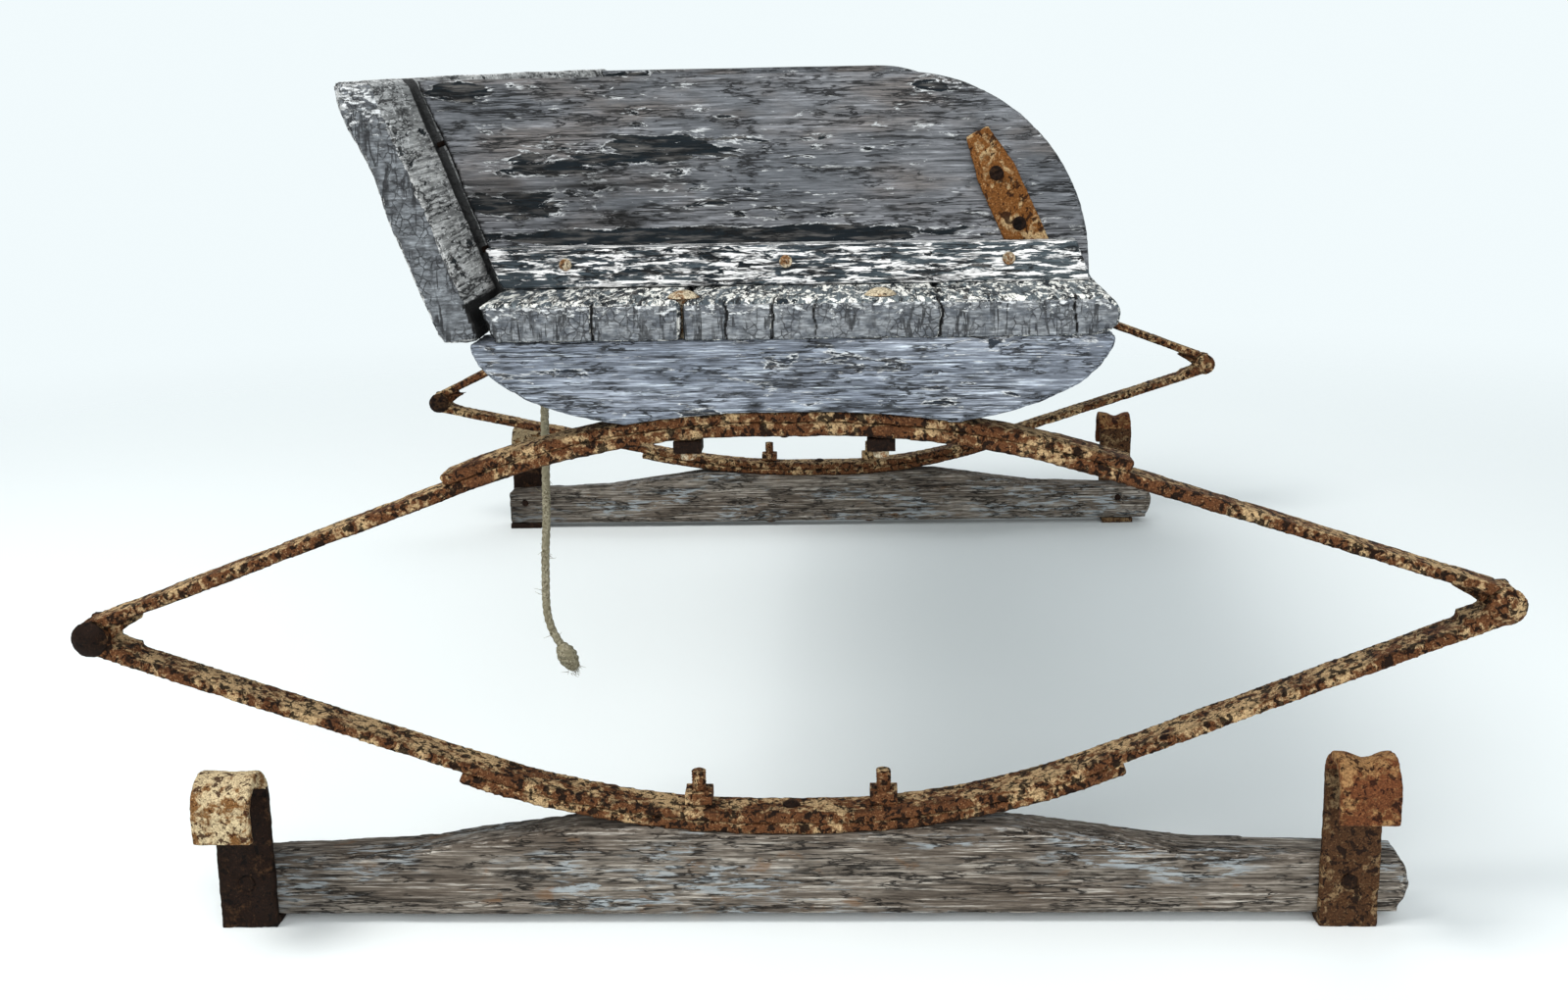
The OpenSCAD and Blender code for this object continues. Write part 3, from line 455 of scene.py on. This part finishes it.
def arrays(mesh):
    """(points, normals) of a mesh as numpy arrays."""
    points = np.empty(len(mesh.vertices) * 3)
    mesh.vertices.foreach_get("co", points)
    normals = np.empty(len(mesh.vertices) * 3)
    mesh.vertex_normals.foreach_get("vector", normals)
    return points.reshape(-1, 3), normals.reshape(-1, 3)


def shifted(piece, points, wear_and_shade=None):
    """Moves the vertices to points, and keeps wear and painted shade, from 0 to 1, for the material."""
    piece.data.vertices.foreach_set("co", points.ravel())
    if wear_and_shade is not None:
        attribute = piece.data.attributes.new("wear_and_shade", "FLOAT", "POINT")
        attribute.data.foreach_set("value", np.clip(wear_and_shade, 0, 1).astype(np.float32))
    piece.data.update()


def finer(piece, wanted):
    """Splits the faces whose centres are wanted, once."""
    made = bmesh.new()
    made.from_mesh(piece.data)
    edges = {e for f in made.faces if wanted(f.calc_center_median()) for e in f.edges}
    bmesh.ops.subdivide_edges(made, edges=list(edges), cuts=1, use_grid_fill=True)
    made.to_mesh(piece.data)
    made.free()


def remade(name, nodes, voxel, soften, material, extra=(), fine=None):
    """A worn copy of CAD nodes as one even mesh, with its edges softened."""
    piece = bpy.data.objects.new(name, copy_of(nodes, extra))
    bpy.context.collection.objects.link(piece)
    with_modifiers(piece, ("REMESH", {"mode": "VOXEL", "voxel_size": voxel * MM}),
                   ("SMOOTH", {"factor": 0.5, "iterations": soften}))
    if fine:
        finer(piece, fine)
    piece.data.materials.clear()
    piece.data.materials.append(material)
    piece.data.polygons.foreach_set("use_smooth", [True] * len(piece.data.polygons))
    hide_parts(*nodes)
    return piece


def corner_share(normals):
    """How far a vertex's normal is from all three axes: near 1 on a rounded edge or corner."""
    return np.clip((1 - np.abs(normals).max(axis=1)) / 0.29, 0, 1)


def weather_wood(piece, axis, seed, grain_mm=0.35, chip_mm=0.9, wave_mm=0.6, split_mm=1.6,
                 cells=(9, 190), extra=None):
    """Grain ridges, chipped edges, a slow warp and long splits, along a grain axis (0 for X, 1 for Y)."""
    points, normals = arrays(piece.data)
    long_cells = np.array([5.0, 5.0, 5.0])
    long_cells[axis] = 120.0
    ridges = rough_field(points, long_cells, seed)
    chips = np.clip(rough_field(points, (16, 16, 16), seed + 5), 0, None) * corner_share(normals)
    nibbles = np.clip(rough_field(points, (5, 5, 5), seed + 8, 2), 0, None) * corner_share(normals)
    wave = rough_field(points, (150, 150, 150), seed + 9, 2)
    on_side = 1 - step(0.6, 0.9, np.abs(normals[:, axis]))
    split = splits(points, axis, cells, seed + 20) * on_side
    push = grain_mm * ridges + wave_mm * wave - chip_mm * chips * 2
    push = push - 0.8 * chip_mm * nibbles - split_mm * split
    wear_and_shade = 0.9 * split + 0.5 * chips
    # extra can add painted shade to the layer as well as wear.
    if extra:
        more_push, more_wear_and_shade = extra(points, normals)
        push, wear_and_shade = push + more_push, wear_and_shade + more_wear_and_shade
    shifted(piece, points + normals * (push * MM)[:, None], wear_and_shade)


def weather_iron(piece, seed, pit_mm=0.22, scale_mm=0.25, chip_mm=0.5, wave_mm=0.35, bend=None, seam=0):
    """Rust pits, layered scale, nibbled edges and a slow waviness.

    seam is 1 where dirt lies along the upper edges, and -1 where it lies along the lower ones.
    """
    points, normals = arrays(piece.data)
    pits = np.clip(rough_field(points, (3.2, 3.2, 3.2), seed, 2), -0.2, None)
    layers = step(-0.1, 0.15, rough_field(points, (17, 9, 17), seed + 3))
    nibbles = np.clip(rough_field(points, (7, 7, 7), seed + 6), 0, None) * corner_share(normals)
    wave = rough_field(points, (60, 60, 60), seed + 9, 2)
    push = scale_mm * layers - pit_mm * pits - chip_mm * nibbles + wave_mm * wave - 0.5 * scale_mm
    points = points + normals * (push * MM)[:, None]
    if bend:
        points = bend(points)
    dirt = step(0.25, 0.6, normals[:, 2] * seam) * step(0.15, 0.4, np.abs(normals[:, 1])) if seam else 0
    shifted(piece, points, np.maximum(0.5 * step(0.25, 0.8, pits), 1.4 * dirt))


# ------------------------------------------------------------------ the seat's boards

BOARD_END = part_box("seat_board_front")[1][1]
SEAT_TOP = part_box("seat_board_front")[1][2]


def paint_gap_shade(piece, hidden):
    """Painted shade: near black where hidden says so, in the shaded gaps between the boards."""
    points, normals = arrays(piece.data)
    layer = piece.data.attributes["wear_and_shade"].data
    wear_and_shade = np.empty(len(layer), np.float32)
    layer.foreach_get("value", wear_and_shade)
    layer.foreach_set("value", np.where(hidden(points, normals), 1.0, wear_and_shade).astype(np.float32))


def end_cracks(places, seed):
    """Cracks in both sawn ends of a board whose grain runs along Y. Each is (x in mm, width, reach)."""
    def carve(points, normals):
        push, wear_and_shade = np.zeros(len(points)), np.zeros(len(points))
        from_end = (BOARD_END - np.abs(points[:, 1])) / MM
        for number, (x, width, reach) in enumerate(places):
            wander = 1.6 * rough_field(points, (50, 22, 9), seed + number, 2)
            away = np.abs(points[:, 0] / MM - x - wander)
            fade = np.clip(1 - from_end / reach, 0, 1)
            depth = np.exp(-(away / (width * (0.35 + 0.65 * fade))) ** 2) * step(0, 0.25, fade)
            push -= 3.2 * depth
            wear_and_shade += 1.2 * depth
        return push, wear_and_shade
    return carve


def near_end(centre):
    return abs(centre.y) > BOARD_END - 0.045


def seat_boards():
    front_cracks = [(-32, 0.5, 90), (-6, 0.45, 60), (19, 0.3, 40), (92, 0.5, 110), (170, 0.3, 24)]
    rear_cracks = [(-110, 0.55, 90)]
    for part, cracks, seed in (("front", front_cracks, 11), ("rear", rear_cracks, 47)):
        piece = remade(f"seat_plank_{part}", [f"seat_board_{part}"], 3.0, 3, SEAT_PAINT, fine=near_end)
        finer(piece, lambda c: abs(c.y) > BOARD_END - 0.012)
        weather_wood(piece, 1, seed, 0.3, 0.9, 0.5, 0.6, (34, 420), end_cracks(cracks, seed))
        # Painted shade: the rear faces of the boards, in the shaded gaps behind them, are turned near black.
        paint_gap_shade(piece, lambda points, normals: normals[:, 0] < -0.4)
        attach(piece, "seat")


def back_board():
    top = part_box("back_board")[1][2]
    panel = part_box("left_end_panel")

    def dent(points, normals):
        """A long dent in the rear edge near each end, and a rounded upper corner."""
        height = (points[:, 2] - 0.470) / 0.016
        from_end = (BOARD_END - np.abs(points[:, 1])) / 0.05
        at_back = step(0.2, -0.6, normals[:, 0])
        hollow = np.exp(-height ** 2 - from_end ** 2) * at_back
        rounding = step(top - 0.016, top, points[:, 2]) * at_back
        return -4.0 * hollow - 5.0 * rounding, 0.25 * hollow

    # Painted shade: the back board's front face in the dark gap behind each end panel and below the seat top
    # is turned near black.
    def in_a_gap(points, normals):
        behind_panel = np.abs(np.abs(points[:, 1]) - (panel[0][1] + panel[1][1]) / 2) < 0.0128
        return (normals[:, 0] > 0.3) & (behind_panel | (points[:, 2] < SEAT_TOP))
    piece = remade("back_plank", ["back_board"], 2.8, 3, INNER_PAINT, fine=near_end)
    finer(piece, lambda c: abs(c.y) > BOARD_END - 0.010)
    weather_wood(piece, 1, 71, 0.3, 1.2, 0.6, 1.4, (13, 380), dent)
    paint_gap_shade(piece, in_a_gap)
    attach(piece, "seat")


def painted_boards():
    for side in SIDES:
        panel = remade(f"{side}_panel_board", [f"{side}_end_panel"], 1.8, 3, PANEL_PAINT)

        def stain(points, normals):
            """A dark streak in the grain near the back board."""
            across = (points[:, 2] - 0.456 - 0.02 * (points[:, 0] + 0.16)) / 0.006
            ragged = 1 + 0.8 * rough_field(points, (30, 20, 3), 88, 2)
            return 0, 0.8 * np.exp(-across ** 2) * np.clip(ragged, 0, 1.3) * step(-0.04, -0.13, points[:, 0])
        weather_wood(panel, 0, 90, 0.32, 1.0, 0.4, 1.2, (9, 170), stain)
        # Painted shade: the panel's rear edge, in the shadow gap before the back board, is turned near black.
        paint_gap_shade(panel, lambda points, normals: normals[:, 0] < -0.4)
        batten = remade(f"{side}_batten", [f"{side}_panel_strip"], 1.5, 2, STRIP_PAINT)
        weather_wood(batten, 0, 120, 0.3, 1.1, 0.3, 1.3, (6, 120))
        block = remade(f"{side}_block", [f"{side}_spring_block"], 1.8, 3, BLOCK_PAINT)
        weather_wood(block, 0, 150, 0.4, 1.0, 0.3, 1.3, (5, 130))
        for piece in (panel, batten, block):
            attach(piece, "seat")


def bars():
    for side in SIDES:
        piece = remade(f"{side}_oak_bar", [f"{side}_bar"], 2.0, 6, OAK)
        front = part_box(f"{side}_bar")[1][0]

        def worn_ends_with_shade(points, normals, front=front):
            """A hollow underside here and there, a front end that bulges, and painted shade that darkens the
            rear end.
            """
            under = step(-0.5, -0.9, normals[:, 2])
            hollow = np.clip(rough_field(points, (160, 60, 60), 33, 2), 0, None)
            tip = step(front - 0.012, front, points[:, 0]) * step(0.2, 0.8, normals[:, 0])
            height = (points[:, 2] - 0.026) / 0.018
            # Painted shade: the rear end of each bar, beside the rear hook, is darkened.
            rear_shade = 0.55 * step(-0.20, -0.36, points[:, 0])
            return -1.6 * under * hollow + tip * (4.0 - 7.0 * np.clip(height ** 2, 0, 1.2)), rear_shade
        weather_wood(piece, 0, 200, 0.55, 1.8, 0.7, 1.9, (7, 210), worn_ends_with_shade)
        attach(piece, f"{side}_bar")


# ------------------------------------------------------------------ springs


def eye_centre(side, end):
    low, high = (np.array(p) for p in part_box(f"{side}_{end}_eye_pin"))
    return (low + high) / 2


def flex(piece, level):
    """Bakes the leaf's placement into its mesh; the leaf is not bent."""
    if level == "upper":
        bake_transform(piece)
    else:
        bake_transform(piece)


def eye_tail(side, end, level):
    """The forged tail of an eye, a wedge between the leaves that runs back under its own leaf."""
    centre = eye_centre(side, end)
    outward = ENDS[end]
    up = 1 if level == "upper" else -1
    width = 7.4 * MM if level == "upper" else 23.6 * MM
    middle_y = (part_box(f"{side}_{level}_main_leaf")[0][1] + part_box(f"{side}_{level}_main_leaf")[1][1]) / 2
    outline = [(-7, 3), (-22, 10), (-31, 10.5), (-20, 4.5), (-9, -4)] if level == "upper" else \
        [(-8, -2), (-18, -6), (-26, -8.5), (-20, -10), (-8, -8)]
    ring = [(centre[0] + x * outward * MM, centre[2] + z * MM) for x, z in outline]
    count = len(ring)
    points = [(x, middle_y + s * width / 2, z) for s in (-1, 1) for x, z in ring]
    faces = [list(range(count)), [count * 2 - 1 - i for i in range(count)]]
    faces += [[i, i + count, (i + 1) % count + count, (i + 1) % count] for i in range(count)]
    if (outward > 0) == (up > 0):
        faces = [f[::-1] for f in faces]
    return points, faces


def leaves():
    seeds = iter(range(300, 400, 11))
    for side in SIDES:
        for level in ("upper", "lower"):
            for kind in ("main", "short"):
                node = f"{side}_{level}_{kind}_leaf"
                tails = [eye_tail(side, end, level) for end in ENDS] if kind == "main" else []
                piece = remade(f"{side}_{level}_{kind}_spring", [node], 1.8, 2, SPRING_RUST, tails)
                towards_short = (1 if kind == "short" else -1) * (1 if level == "upper" else -1)
                weather_iron(piece, next(seeds), 0.25, 0.3, 0.7, 0.35, seam=towards_short)
                flex(piece, level)


# ------------------------------------------------------------------ hooks, stays and fasteners


def strap_irons():
    for side in SIDES:
        for end in ENDS:
            node = f"{side}_{end}_hook"
            low, high = (np.array(p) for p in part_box(node))
            middle = (low + high) / 2

            def worn(points, low=low, high=high, middle=middle, end=end):
                """A dip worn into the top of a hook, deep on the front ones."""
                x = (points[:, 0] - middle[0]) / MM
                top = step(high[2] - 0.022, high[2], points[:, 2])
                dip = (4.5 if end == "front" else 0.8) * np.exp(-((x - 1) / 8) ** 2)
                points = points.copy()
                points[:, 2] -= dip * top * MM
                return points
            strap, lip = (DARK_RUST, PALE_LIP) if end == "rear" else (BROWN_RUST, BROWN_LIP)
            piece = remade(f"{side}_{end}_strap", [node], 1.3, 2, strap)
            piece.data.materials.append(lip)
            weather_iron(piece, 400 if end == "rear" else 430, 0.3, 0.35, 1.1, 0.5, worn)
            lip_from = middle[1] + 0.002 * np.sign(middle[1])
            for face in piece.data.polygons:
                out = abs(face.center[1]) - abs(lip_from)
                face.material_index = int(out > 0 or face.center[2] > high[2] - 0.016)
            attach(piece, f"{side}_bar")
        stay = remade(f"{side}_stay_iron", [f"{side}_stay"], 1.0, 2, STAY_RUST)
        weather_iron(stay, 460, 0.3, 0.3, 0.9, 0.3)
        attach(stay, "seat")


THREAD_PITCH = 0.00195
THREAD_DEPTH = 0.00045


def threads(low, high):
    """Ridges round an upright bolt between two heights."""
    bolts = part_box("right_bar_bolts")
    bolt_x = bolts[1][0] - (bolts[1][1] - bolts[0][1]) / 2

    def cut(points):
        inside = step(low, low + 0.001, points[:, 2]) * step(high, high - 0.001, points[:, 2])
        nearest = np.sign(points[:, 0]) * bolt_x
        side = np.sign(points[:, 1]) * abs(bolts[0][1] + bolts[1][1]) / 2
        from_axis = np.stack([points[:, 0] - nearest, points[:, 1] - side], axis=1)
        reach = np.linalg.norm(from_axis, axis=1)
        turn = np.arctan2(from_axis[:, 1], from_axis[:, 0]) / (2 * math.pi)
        groove = 0.5 - 0.5 * np.cos(2 * math.pi * (points[:, 2] / THREAD_PITCH - turn))
        shrink = 1 - THREAD_DEPTH * groove * inside / np.maximum(reach, 0.003)
        out = points.copy()
        out[:, 0] = nearest + from_axis[:, 0] * shrink
        out[:, 1] = side + from_axis[:, 1] * shrink
        return out
    return cut


def fasteners():
    seat_nodes = [("seat_bolts", 0.9, NAIL_RUST), ("seat_bolt_nuts", 0.8, DARK_RUST),
                  ("strip_nails", 0.6, NAIL_RUST), ("stay_screws", 0.5, DARK_RUST),
                  ("back_nails", 0.7, DARK_RUST), ("panel_screws", 0.8, DARK_RUST),
                  ("upper_leaf_rivets", 0.8, DARK_RUST), ("twine_staple", 0.5, DARK_RUST)]
    jobs = [(node, voxel, material, "seat", None) for node, voxel, material in seat_nodes]
    for side in SIDES:
        nut_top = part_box(f"{side}_bar_nuts")[1][2]
        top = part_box(f"{side}_bar_bolts")[1][2]
        jobs += [(f"{side}_bar_bolts", 0.6, SPRING_RUST, f"{side}_bar", threads(nut_top, top)),
                 (f"{side}_bar_nuts", 0.7, SPRING_RUST, f"{side}_bar", None),
                 (f"{side}_lower_rivet", 0.7, DARK_RUST, f"{side}_bar", None),
                 (f"{side}_hook_rivets", 0.8, DARK_RUST, f"{side}_bar", None),
                 (f"{side}_eye_nuts", 0.8, DARK_RUST, f"{side}_eyes", None),
                 (f"{side}_rear_eye_pin", 0.8, DARK_RUST, f"{side}_eyes", None),
                 (f"{side}_front_eye_pin", 0.8, SPRING_RUST, f"{side}_eyes", None)]
    for number, (node, voxel, material, body, bend) in enumerate(jobs):
        piece = remade(f"{node}_rusted", [node], voxel, 1, material)
        weather_iron(piece, 500 + 7 * number, 0.16, 0.15, 0.4, 0.1, bend)
        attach(piece, body)


# ------------------------------------------------------------------ twine

TWINE_D = 0.006
ROUTE_MM = [
    (0, 0, 0), (0, 0, -14), (0.5, -0.5, -28), (0.5, -1, -42), (0, -1, -56),
    (-0.5, -0.5, -70), (-1, 0, -84), (-1.5, 0.5, -98), (-2, 0.5, -112), (-2.5, 0.5, -126),
    (-3.5, 0, -140), (-4.5, -0.5, -154), (-5, -0.5, -168), (-5.5, -0.5, -182),
    (-5, -0.5, -195), (-2, -0.5, -207), (3, -0.5, -217)]


def smooth_route(points, per_span):
    """A Catmull-Rom curve through the points."""
    padded = [2 * points[0] - points[1], *points, 2 * points[-1] - points[-2]]
    out = []
    for a, b, c, d in zip(padded, padded[1:], padded[2:], padded[3:]):
        for number in range(per_span):
            t = number / per_span
            square = (2 * a - 5 * b + 4 * c - d) * t * t
            cube = (3 * b - a - 3 * c + d) * t ** 3
            out.append(0.5 * (2 * b + (c - a) * t + square + cube))
    return np.array(out + [points[-1]])


def laid_tube(name, line, radius_at, around, twist, lobes, depth):
    """A closed tube along a line, with twisted strands pressed into its surface."""
    count = len(line)
    along = np.gradient(line, axis=0)
    along /= np.linalg.norm(along, axis=1)[:, None]
    side = np.cross(along, (0, 1, 0))
    side /= np.linalg.norm(side, axis=1)[:, None]
    other = np.cross(along, side)
    gone = np.concatenate([[0], np.cumsum(np.linalg.norm(np.diff(line, axis=0), axis=1))])
    points = []
    for i in range(count):
        for j in range(around):
            turn = 2 * math.pi * j / around
            strand = abs(math.cos(lobes / 2 * (turn - twist * gone[i])))
            reach = radius_at(gone[i] / gone[-1]) * (1 - depth + depth * strand)
            points.append(line[i] + reach * (side[i] * math.cos(turn) + other[i] * math.sin(turn)))
    faces = []
    for i in range(count - 1):
        for j in range(around):
            k = (j + 1) % around
            faces.append((i * around + j, (i + 1) * around + j, (i + 1) * around + k, i * around + k))
    faces.append(tuple(range(around)))
    faces.append(tuple(range(count * around - 1, (count - 1) * around - 1, -1)))
    mesh = bpy.data.meshes.new(name)
    mesh.from_pydata([tuple(p) for p in points], [], faces)
    mesh.polygons.foreach_set("use_smooth", [True] * len(mesh.polygons))
    mesh.materials.append(TWINE_STUFF)
    piece = bpy.data.objects.new(name, mesh)
    bpy.context.collection.objects.link(piece)
    return piece


def joined(name, parts):
    """Several meshes as one piece."""
    points, faces = [], []
    for part in parts:
        base = len(points)
        points += [tuple(v.co) for v in part.data.vertices]
        faces += [[base + i for i in p.vertices] for p in part.data.polygons]
        bpy.data.objects.remove(part)
    mesh = bpy.data.meshes.new(name)
    mesh.from_pydata(points, [], faces)
    mesh.polygons.foreach_set("use_smooth", [True] * len(mesh.polygons))
    mesh.materials.append(TWINE_STUFF)
    piece = bpy.data.objects.new(name, mesh)
    bpy.context.collection.objects.link(piece)
    return piece


def fibres(name, starts, directions, length_mm, seed):
    """Loose hairs that stand off the twine."""
    random = np.random.default_rng(seed)
    parts = []
    for start, direction in zip(starts, directions):
        reach = length_mm * (0.4 + 0.6 * random.random()) * MM
        curl = random.normal(0, 0.35, 3)
        line = [start]
        for step_number in range(5):
            direction = direction + curl * 0.35
            direction = direction / np.linalg.norm(direction)
            line.append(line[-1] + direction * reach / 5)
        parts.append(laid_tube("hair", np.array(line), lambda t: 0.00022 * (1 - 0.7 * t), 4, 0, 2, 0.0))
    return joined(name, parts)


def twine():
    top_low, top_high = (np.array(p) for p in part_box("twine_top_knot"))
    start = np.array([(top_low[0] + top_high[0]) / 2, (top_low[1] + top_high[1]) / 2, top_low[2] - 0.00005])
    route = [start + np.array(p) * MM for p in ROUTE_MM]
    line = smooth_route(route, 12)
    cord = laid_tube("twine_cord", line, lambda t: TWINE_D / 2, 18, 2 * math.pi / 0.016, 3, 0.2)

    knots = []
    knot_top = np.linspace(top_high, top_low, 16)
    knot_top[:, :2] = start[:2]
    barrel = lambda t: 0.0033 + 0.0036 * math.sin(math.pi * min(max(t, 0.0), 1.0)) ** 0.7
    top_line = smooth_route(list(knot_top), 4)
    knots.append(laid_tube("twine_top_wraps", top_line, barrel, 28, 2 * math.pi / 0.007, 3, 0.22))
    last = line[-1] - line[-4]
    last = last / np.linalg.norm(last)
    end_line = np.array([line[-1] + last * k * 0.0013 for k in range(17)])
    frayed = lambda t: 0.003 + 0.0044 * math.sin(math.pi * min(t, 0.96)) ** 0.8
    knots.append(laid_tube("twine_end_wraps", end_line, frayed, 30, 2 * math.pi / 0.009, 5, 0.3))

    random = np.random.default_rng(5)
    count = 70
    at = random.integers(4, len(line) - 2, count)
    out = random.normal(0, 1, (count, 3))
    hair_starts = [line[i] + o / np.linalg.norm(o) * 0.0022 for i, o in zip(at, out)]
    tip = end_line[-3]
    spray = random.normal(0, 0.55, (60, 3)) + last * 1.1
    hair_starts += [tip + random.normal(0, 0.0022, 3) for _ in spray]
    hairs = fibres("twine_hairs", hair_starts, [o / np.linalg.norm(o) for o in [*out, *spray]], 7, 6)

    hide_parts("twine")
    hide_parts("twine_top_knot")
    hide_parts("twine_end_knot")
    for piece in (cord, hairs, *knots):
        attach(piece, "seat")


# ------------------------------------------------------------------ studio


def studio():
    floor_mesh = bpy.data.meshes.new("floor")
    sides, reach = 64, 14.0
    ring = [(reach * math.cos(2 * math.pi * i / sides), reach * math.sin(2 * math.pi * i / sides), 0)
            for i in range(sides)]
    floor_mesh.from_pydata(ring, [], [tuple(range(sides))])
    floor = bpy.data.objects.new("floor", floor_mesh)
    bpy.context.collection.objects.link(floor)
    s = Shader("floor_paper", specular=0.0)
    s.bsdf.inputs["Base Color"].default_value = (0.90, 0.945, 0.955, 1)
    s.bsdf.inputs["Roughness"].default_value = 1.0
    # the floor thins out far away, so that it has no visible edge
    away = s.node("ShaderNodeVectorMath", {0: s.coordinates.outputs["Object"]}, operation="LENGTH")
    clear = s.node("ShaderNodeBsdfTransparent")
    blend = s.node("ShaderNodeMixShader")
    s.feed(blend.inputs[0], s.band(away.outputs["Value"], 0.75, 2.3))
    s.tree.links.new(s.bsdf.outputs[0], blend.inputs[1])
    s.tree.links.new(clear.outputs[0], blend.inputs[2])
    output = next(n for n in s.tree.nodes if n.type == "OUTPUT_MATERIAL")
    s.tree.links.new(blend.outputs[0], output.inputs["Surface"])
    floor_mesh.materials.append(s.material)

    world = bpy.data.worlds.new("studio")
    world.use_nodes = True
    tree = world.node_tree
    background = tree.nodes["Background"]
    background.inputs["Color"].default_value = (0.885, 0.96, 0.98, 1)
    light_path = tree.nodes.new("ShaderNodeLightPath")
    strength = tree.nodes.new("ShaderNodeMapRange")
    strength.inputs["To Min"].default_value = 0.42
    strength.inputs["To Max"].default_value = 1.0
    tree.links.new(light_path.outputs["Is Camera Ray"], strength.inputs["Value"])
    tree.links.new(strength.outputs["Result"], background.inputs["Strength"])
    bpy.context.scene.world = world

    for name, place, size, power, colour in (
            ("key", (-1.5, -0.9, 2.6), 1.3, 60, (1.0, 0.985, 0.96)),
            ("front", (0.2, -3.0, 1.1), 1.8, 42, (1.0, 0.99, 0.98)),
            ("fill", (1.9, -2.6, 1.5), 2.4, 20, (0.96, 0.98, 1.0)),
            ("back", (0.6, 2.6, 2.4), 2.6, 26, (0.97, 0.99, 1.0))):
        data = bpy.data.lights.new(name, "AREA")
        data.size = size
        data.energy = power
        data.color = colour
        lamp = bpy.data.objects.new(name, data)
        bpy.context.collection.objects.link(lamp)
        lamp.location = place
        lamp.rotation_euler = (Vector((0, 0, 0.25)) - Vector(place)).to_track_quat("-Z", "Y").to_euler()
    bpy.context.scene.view_settings.view_transform = "Standard"


twine()
seat_boards()
back_board()
painted_boards()
bars()
leaves()
strap_irons()
fasteners()
studio()
